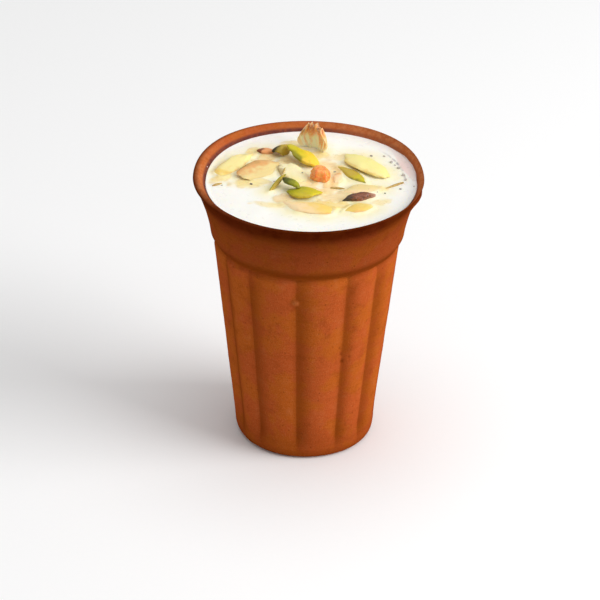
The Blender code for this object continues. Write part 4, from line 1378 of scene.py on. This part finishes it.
class LASSI_OT_milk_film(bpy.types.Operator):
    """Leave a film of lassi on the wall above the drink"""

    bl_idname = "lassi.milk_film"
    bl_label = "Milk Film"

    def execute(self, context):
        heights = np.linspace(LEVEL_Z - FILM_BELOW_LEVEL, HEIGHT - FILM_BELOW_RIM, FILM_ROWS)
        angle, z = np.meshgrid(full_turn(FILM_COLUMNS), heights)
        stand = FILM_STAND * self.thickness(angle, z)
        radius = inner_radius(z) - stand + mouth_swell(angle, z)
        count = FILM_ROWS * FILM_COLUMNS
        faces = grid_faces(FILM_ROWS, FILM_COLUMNS, True)
        faces += turned_over(faces, count)
        last = (FILM_ROWS - 1) * FILM_COLUMNS
        for i in range(FILM_COLUMNS):
            after = (i + 1) % FILM_COLUMNS
            faces.append((after, i, count + i, count + after))
            faces.append((last + i, last + after, count + last + after, count + last + i))
        points = np.concatenate([round_axis(radius + behind, angle, z, bore_offset(z))
                                 for behind in (0.0, FILM_THICK)])
        flat = np.zeros(len(points))
        marks = dict.fromkeys(("tint", "sunk", "warm", "froth", "outline"), flat)
        marks["blush"] = flat + FILM_BLUSH
        make_piece("milk_film", points, faces, drink_finish("milk film", context.scene.lassi_drink),
                   (), marks)
        return {"FINISHED"}

    def thickness(self, angle, z):
        """How far the film stands in front of the clay, from -1 behind it to 1."""
        reach = FILM_REACH + FILM_BULGE * bump(angle - FILM_BEARING, FILM_SPREAD)
        wander = soft_noise(np.sin(angle) * FILM_WANDER_PACE, np.cos(angle) * FILM_WANDER_PACE, 0.0)
        reach = reach * (1.0 + FILM_WANDER * wander)
        thick = np.clip((LEVEL_Z + reach - z) / FILM_FADE, -1.0, 1.0)
        spot = np.hypot((angle - DROP_BEARING) * LEVEL_RADIUS,
                        DROP_SQUASH * (z - LEVEL_Z - DROP_HEIGHT))
        spot = spot * (1.0 + wander)
        return np.maximum(thick, np.clip(DROP_SWELL - spot / DROP_SIZE, -1.0, 1.0))


# The studio

class LASSI_OT_stage(bpy.types.Operator):
    """Set the floor, the lights and the camera"""

    bl_idname = "lassi.stage"
    bl_label = "Stage"

    def execute(self, context):
        look = context.scene.lassi_stage
        self.floor(look)
        self.sky(context.scene, look.sky)
        self.softbox(WINDOW, look.key)
        self.softbox(OVERHEAD, look.top)
        self.camera(context.scene)
        context.scene.view_settings.view_transform = "Standard"
        context.scene.view_settings.look = "None"
        return {"FINISHED"}

    def floor(self, look):
        """A wide pale floor just under the cup's foot."""
        mesh = bpy.data.meshes.new("floor")
        corners = [(x * FLOOR_REACH, y * FLOOR_REACH, 0.0)
                   for x, y in ((-1, -1), (1, -1), (1, 1), (-1, 1))]
        mesh.from_pydata(corners, [], [(0, 1, 2, 3)])
        mesh.materials.append(floor_finish(look))
        piece = bpy.data.objects.new("floor", mesh)
        piece.location.z = -FLOOR_DROP
        bpy.context.scene.collection.objects.link(piece)

    def sky(self, scene, strength):
        """Even light from all round."""
        world = bpy.data.worlds.new("studio light")
        world.use_nodes = True
        background = world.node_tree.nodes["Background"]
        background.inputs["Color"].default_value = (1.0, 1.0, 1.0, 1.0)
        background.inputs["Strength"].default_value = strength
        scene.world = world

    def softbox(self, box, power):
        """A square area light that faces the cup."""
        light = bpy.data.lights.new(box.name, "AREA")
        light.size = box.size
        light.energy = power
        item = bpy.data.objects.new(box.name, light)
        way = Vector((sin(box.bearing) * cos(box.elevation),
                      -cos(box.bearing) * cos(box.elevation), sin(box.elevation)))
        item.location = Vector((0.0, 0.0, HEIGHT / 2.0)) + way * box.distance
        item.rotation_mode = "QUATERNION"
        item.rotation_quaternion = (-way).to_track_quat("-Z", "Y")
        bpy.context.scene.collection.objects.link(item)

    def camera(self, scene):
        """A long lens that looks down on the rim, which sits above the middle of the frame."""
        focal = VIEW_DISTANCE / (MM_PER_PIXEL * MM)
        data = bpy.data.cameras.new("camera")
        data.sensor_width = SENSOR_WIDTH
        data.lens = focal * SENSOR_WIDTH / FRAME_PIXELS
        data.clip_start = CLIP_START
        camera = bpy.data.objects.new("camera", data)
        away = Vector((0.0, -cos(VIEW_ELEVATION), sin(VIEW_ELEVATION)))
        camera.location = Vector((0.0, 0.0, HEIGHT)) + away * VIEW_DISTANCE
        middle = FRAME_PIXELS / 2.0
        to_rim = Vector((RIM_CENTRE_PIXEL[0] - middle, middle - RIM_CENTRE_PIXEL[1], -focal))
        aim = to_rim.rotation_difference(Vector((0.0, 0.0, -1.0)))
        roll = Matrix.Rotation(VIEW_ROLL, 3, "Z").to_quaternion()
        camera.rotation_mode = "QUATERNION"
        camera.rotation_quaternion = (-away).to_track_quat("-Z", "Y") @ roll @ aim
        scene.collection.objects.link(camera)
        scene.camera = camera


class LASSI_PT_sidebar(bpy.types.Panel):
    """The pieces of the clay cup of lassi"""

    bl_idname = "LASSI_PT_sidebar"
    bl_label = "Clay Cup of Lassi"
    bl_space_type = "VIEW_3D"
    bl_region_type = "UI"
    bl_category = "Lassi"

    def draw(self, context):
        for title, group in (("Cup", context.scene.lassi_cup),
                             ("Drink", context.scene.lassi_drink),
                             ("Garnish", context.scene.lassi_garnish),
                             ("Stage", context.scene.lassi_stage)):
            box = self.layout.box()
            box.label(text=title)
            for key in group.__annotations__:
                box.prop(group, key)
        column = self.layout.column()
        for operator in OPERATORS:
            column.operator(operator.bl_idname)


SETTINGS = {"lassi_cup": LassiCupSettings, "lassi_drink": LassiDrinkSettings,
            "lassi_garnish": LassiGarnishSettings, "lassi_stage": LassiStageSettings}
OPERATORS = (LASSI_OT_clay_cup, LASSI_OT_almond_flakes, LASSI_OT_pistachio_slices,
             LASSI_OT_candied_fruit, LASSI_OT_cream_shard, LASSI_OT_strands_and_specks,
             LASSI_OT_drink, LASSI_OT_milk_film, LASSI_OT_stage)


def register():
    """Register the settings, the operators and the panel."""
    for title, group in SETTINGS.items():
        bpy.utils.register_class(group)
        setattr(bpy.types.Scene, title, PointerProperty(type=group))
    for operator in OPERATORS:
        bpy.utils.register_class(operator)
    bpy.utils.register_class(LASSI_PT_sidebar)


def unregister():
    """Take everything back out."""
    bpy.utils.unregister_class(LASSI_PT_sidebar)
    for operator in reversed(OPERATORS):
        bpy.utils.unregister_class(operator)
    for title, group in reversed(SETTINGS.items()):
        delattr(bpy.types.Scene, title)
        bpy.utils.unregister_class(group)


def main():
    """Dress the cup."""
    register()
    bpy.ops.lassi.clay_cup()
    bpy.ops.lassi.almond_flakes()
    bpy.ops.lassi.pistachio_slices()
    bpy.ops.lassi.candied_fruit()
    bpy.ops.lassi.cream_shard()
    bpy.ops.lassi.strands_and_specks()
    bpy.ops.lassi.drink()
    bpy.ops.lassi.milk_film()
    bpy.ops.lassi.stage()


if __name__ == "__main__":
    main()
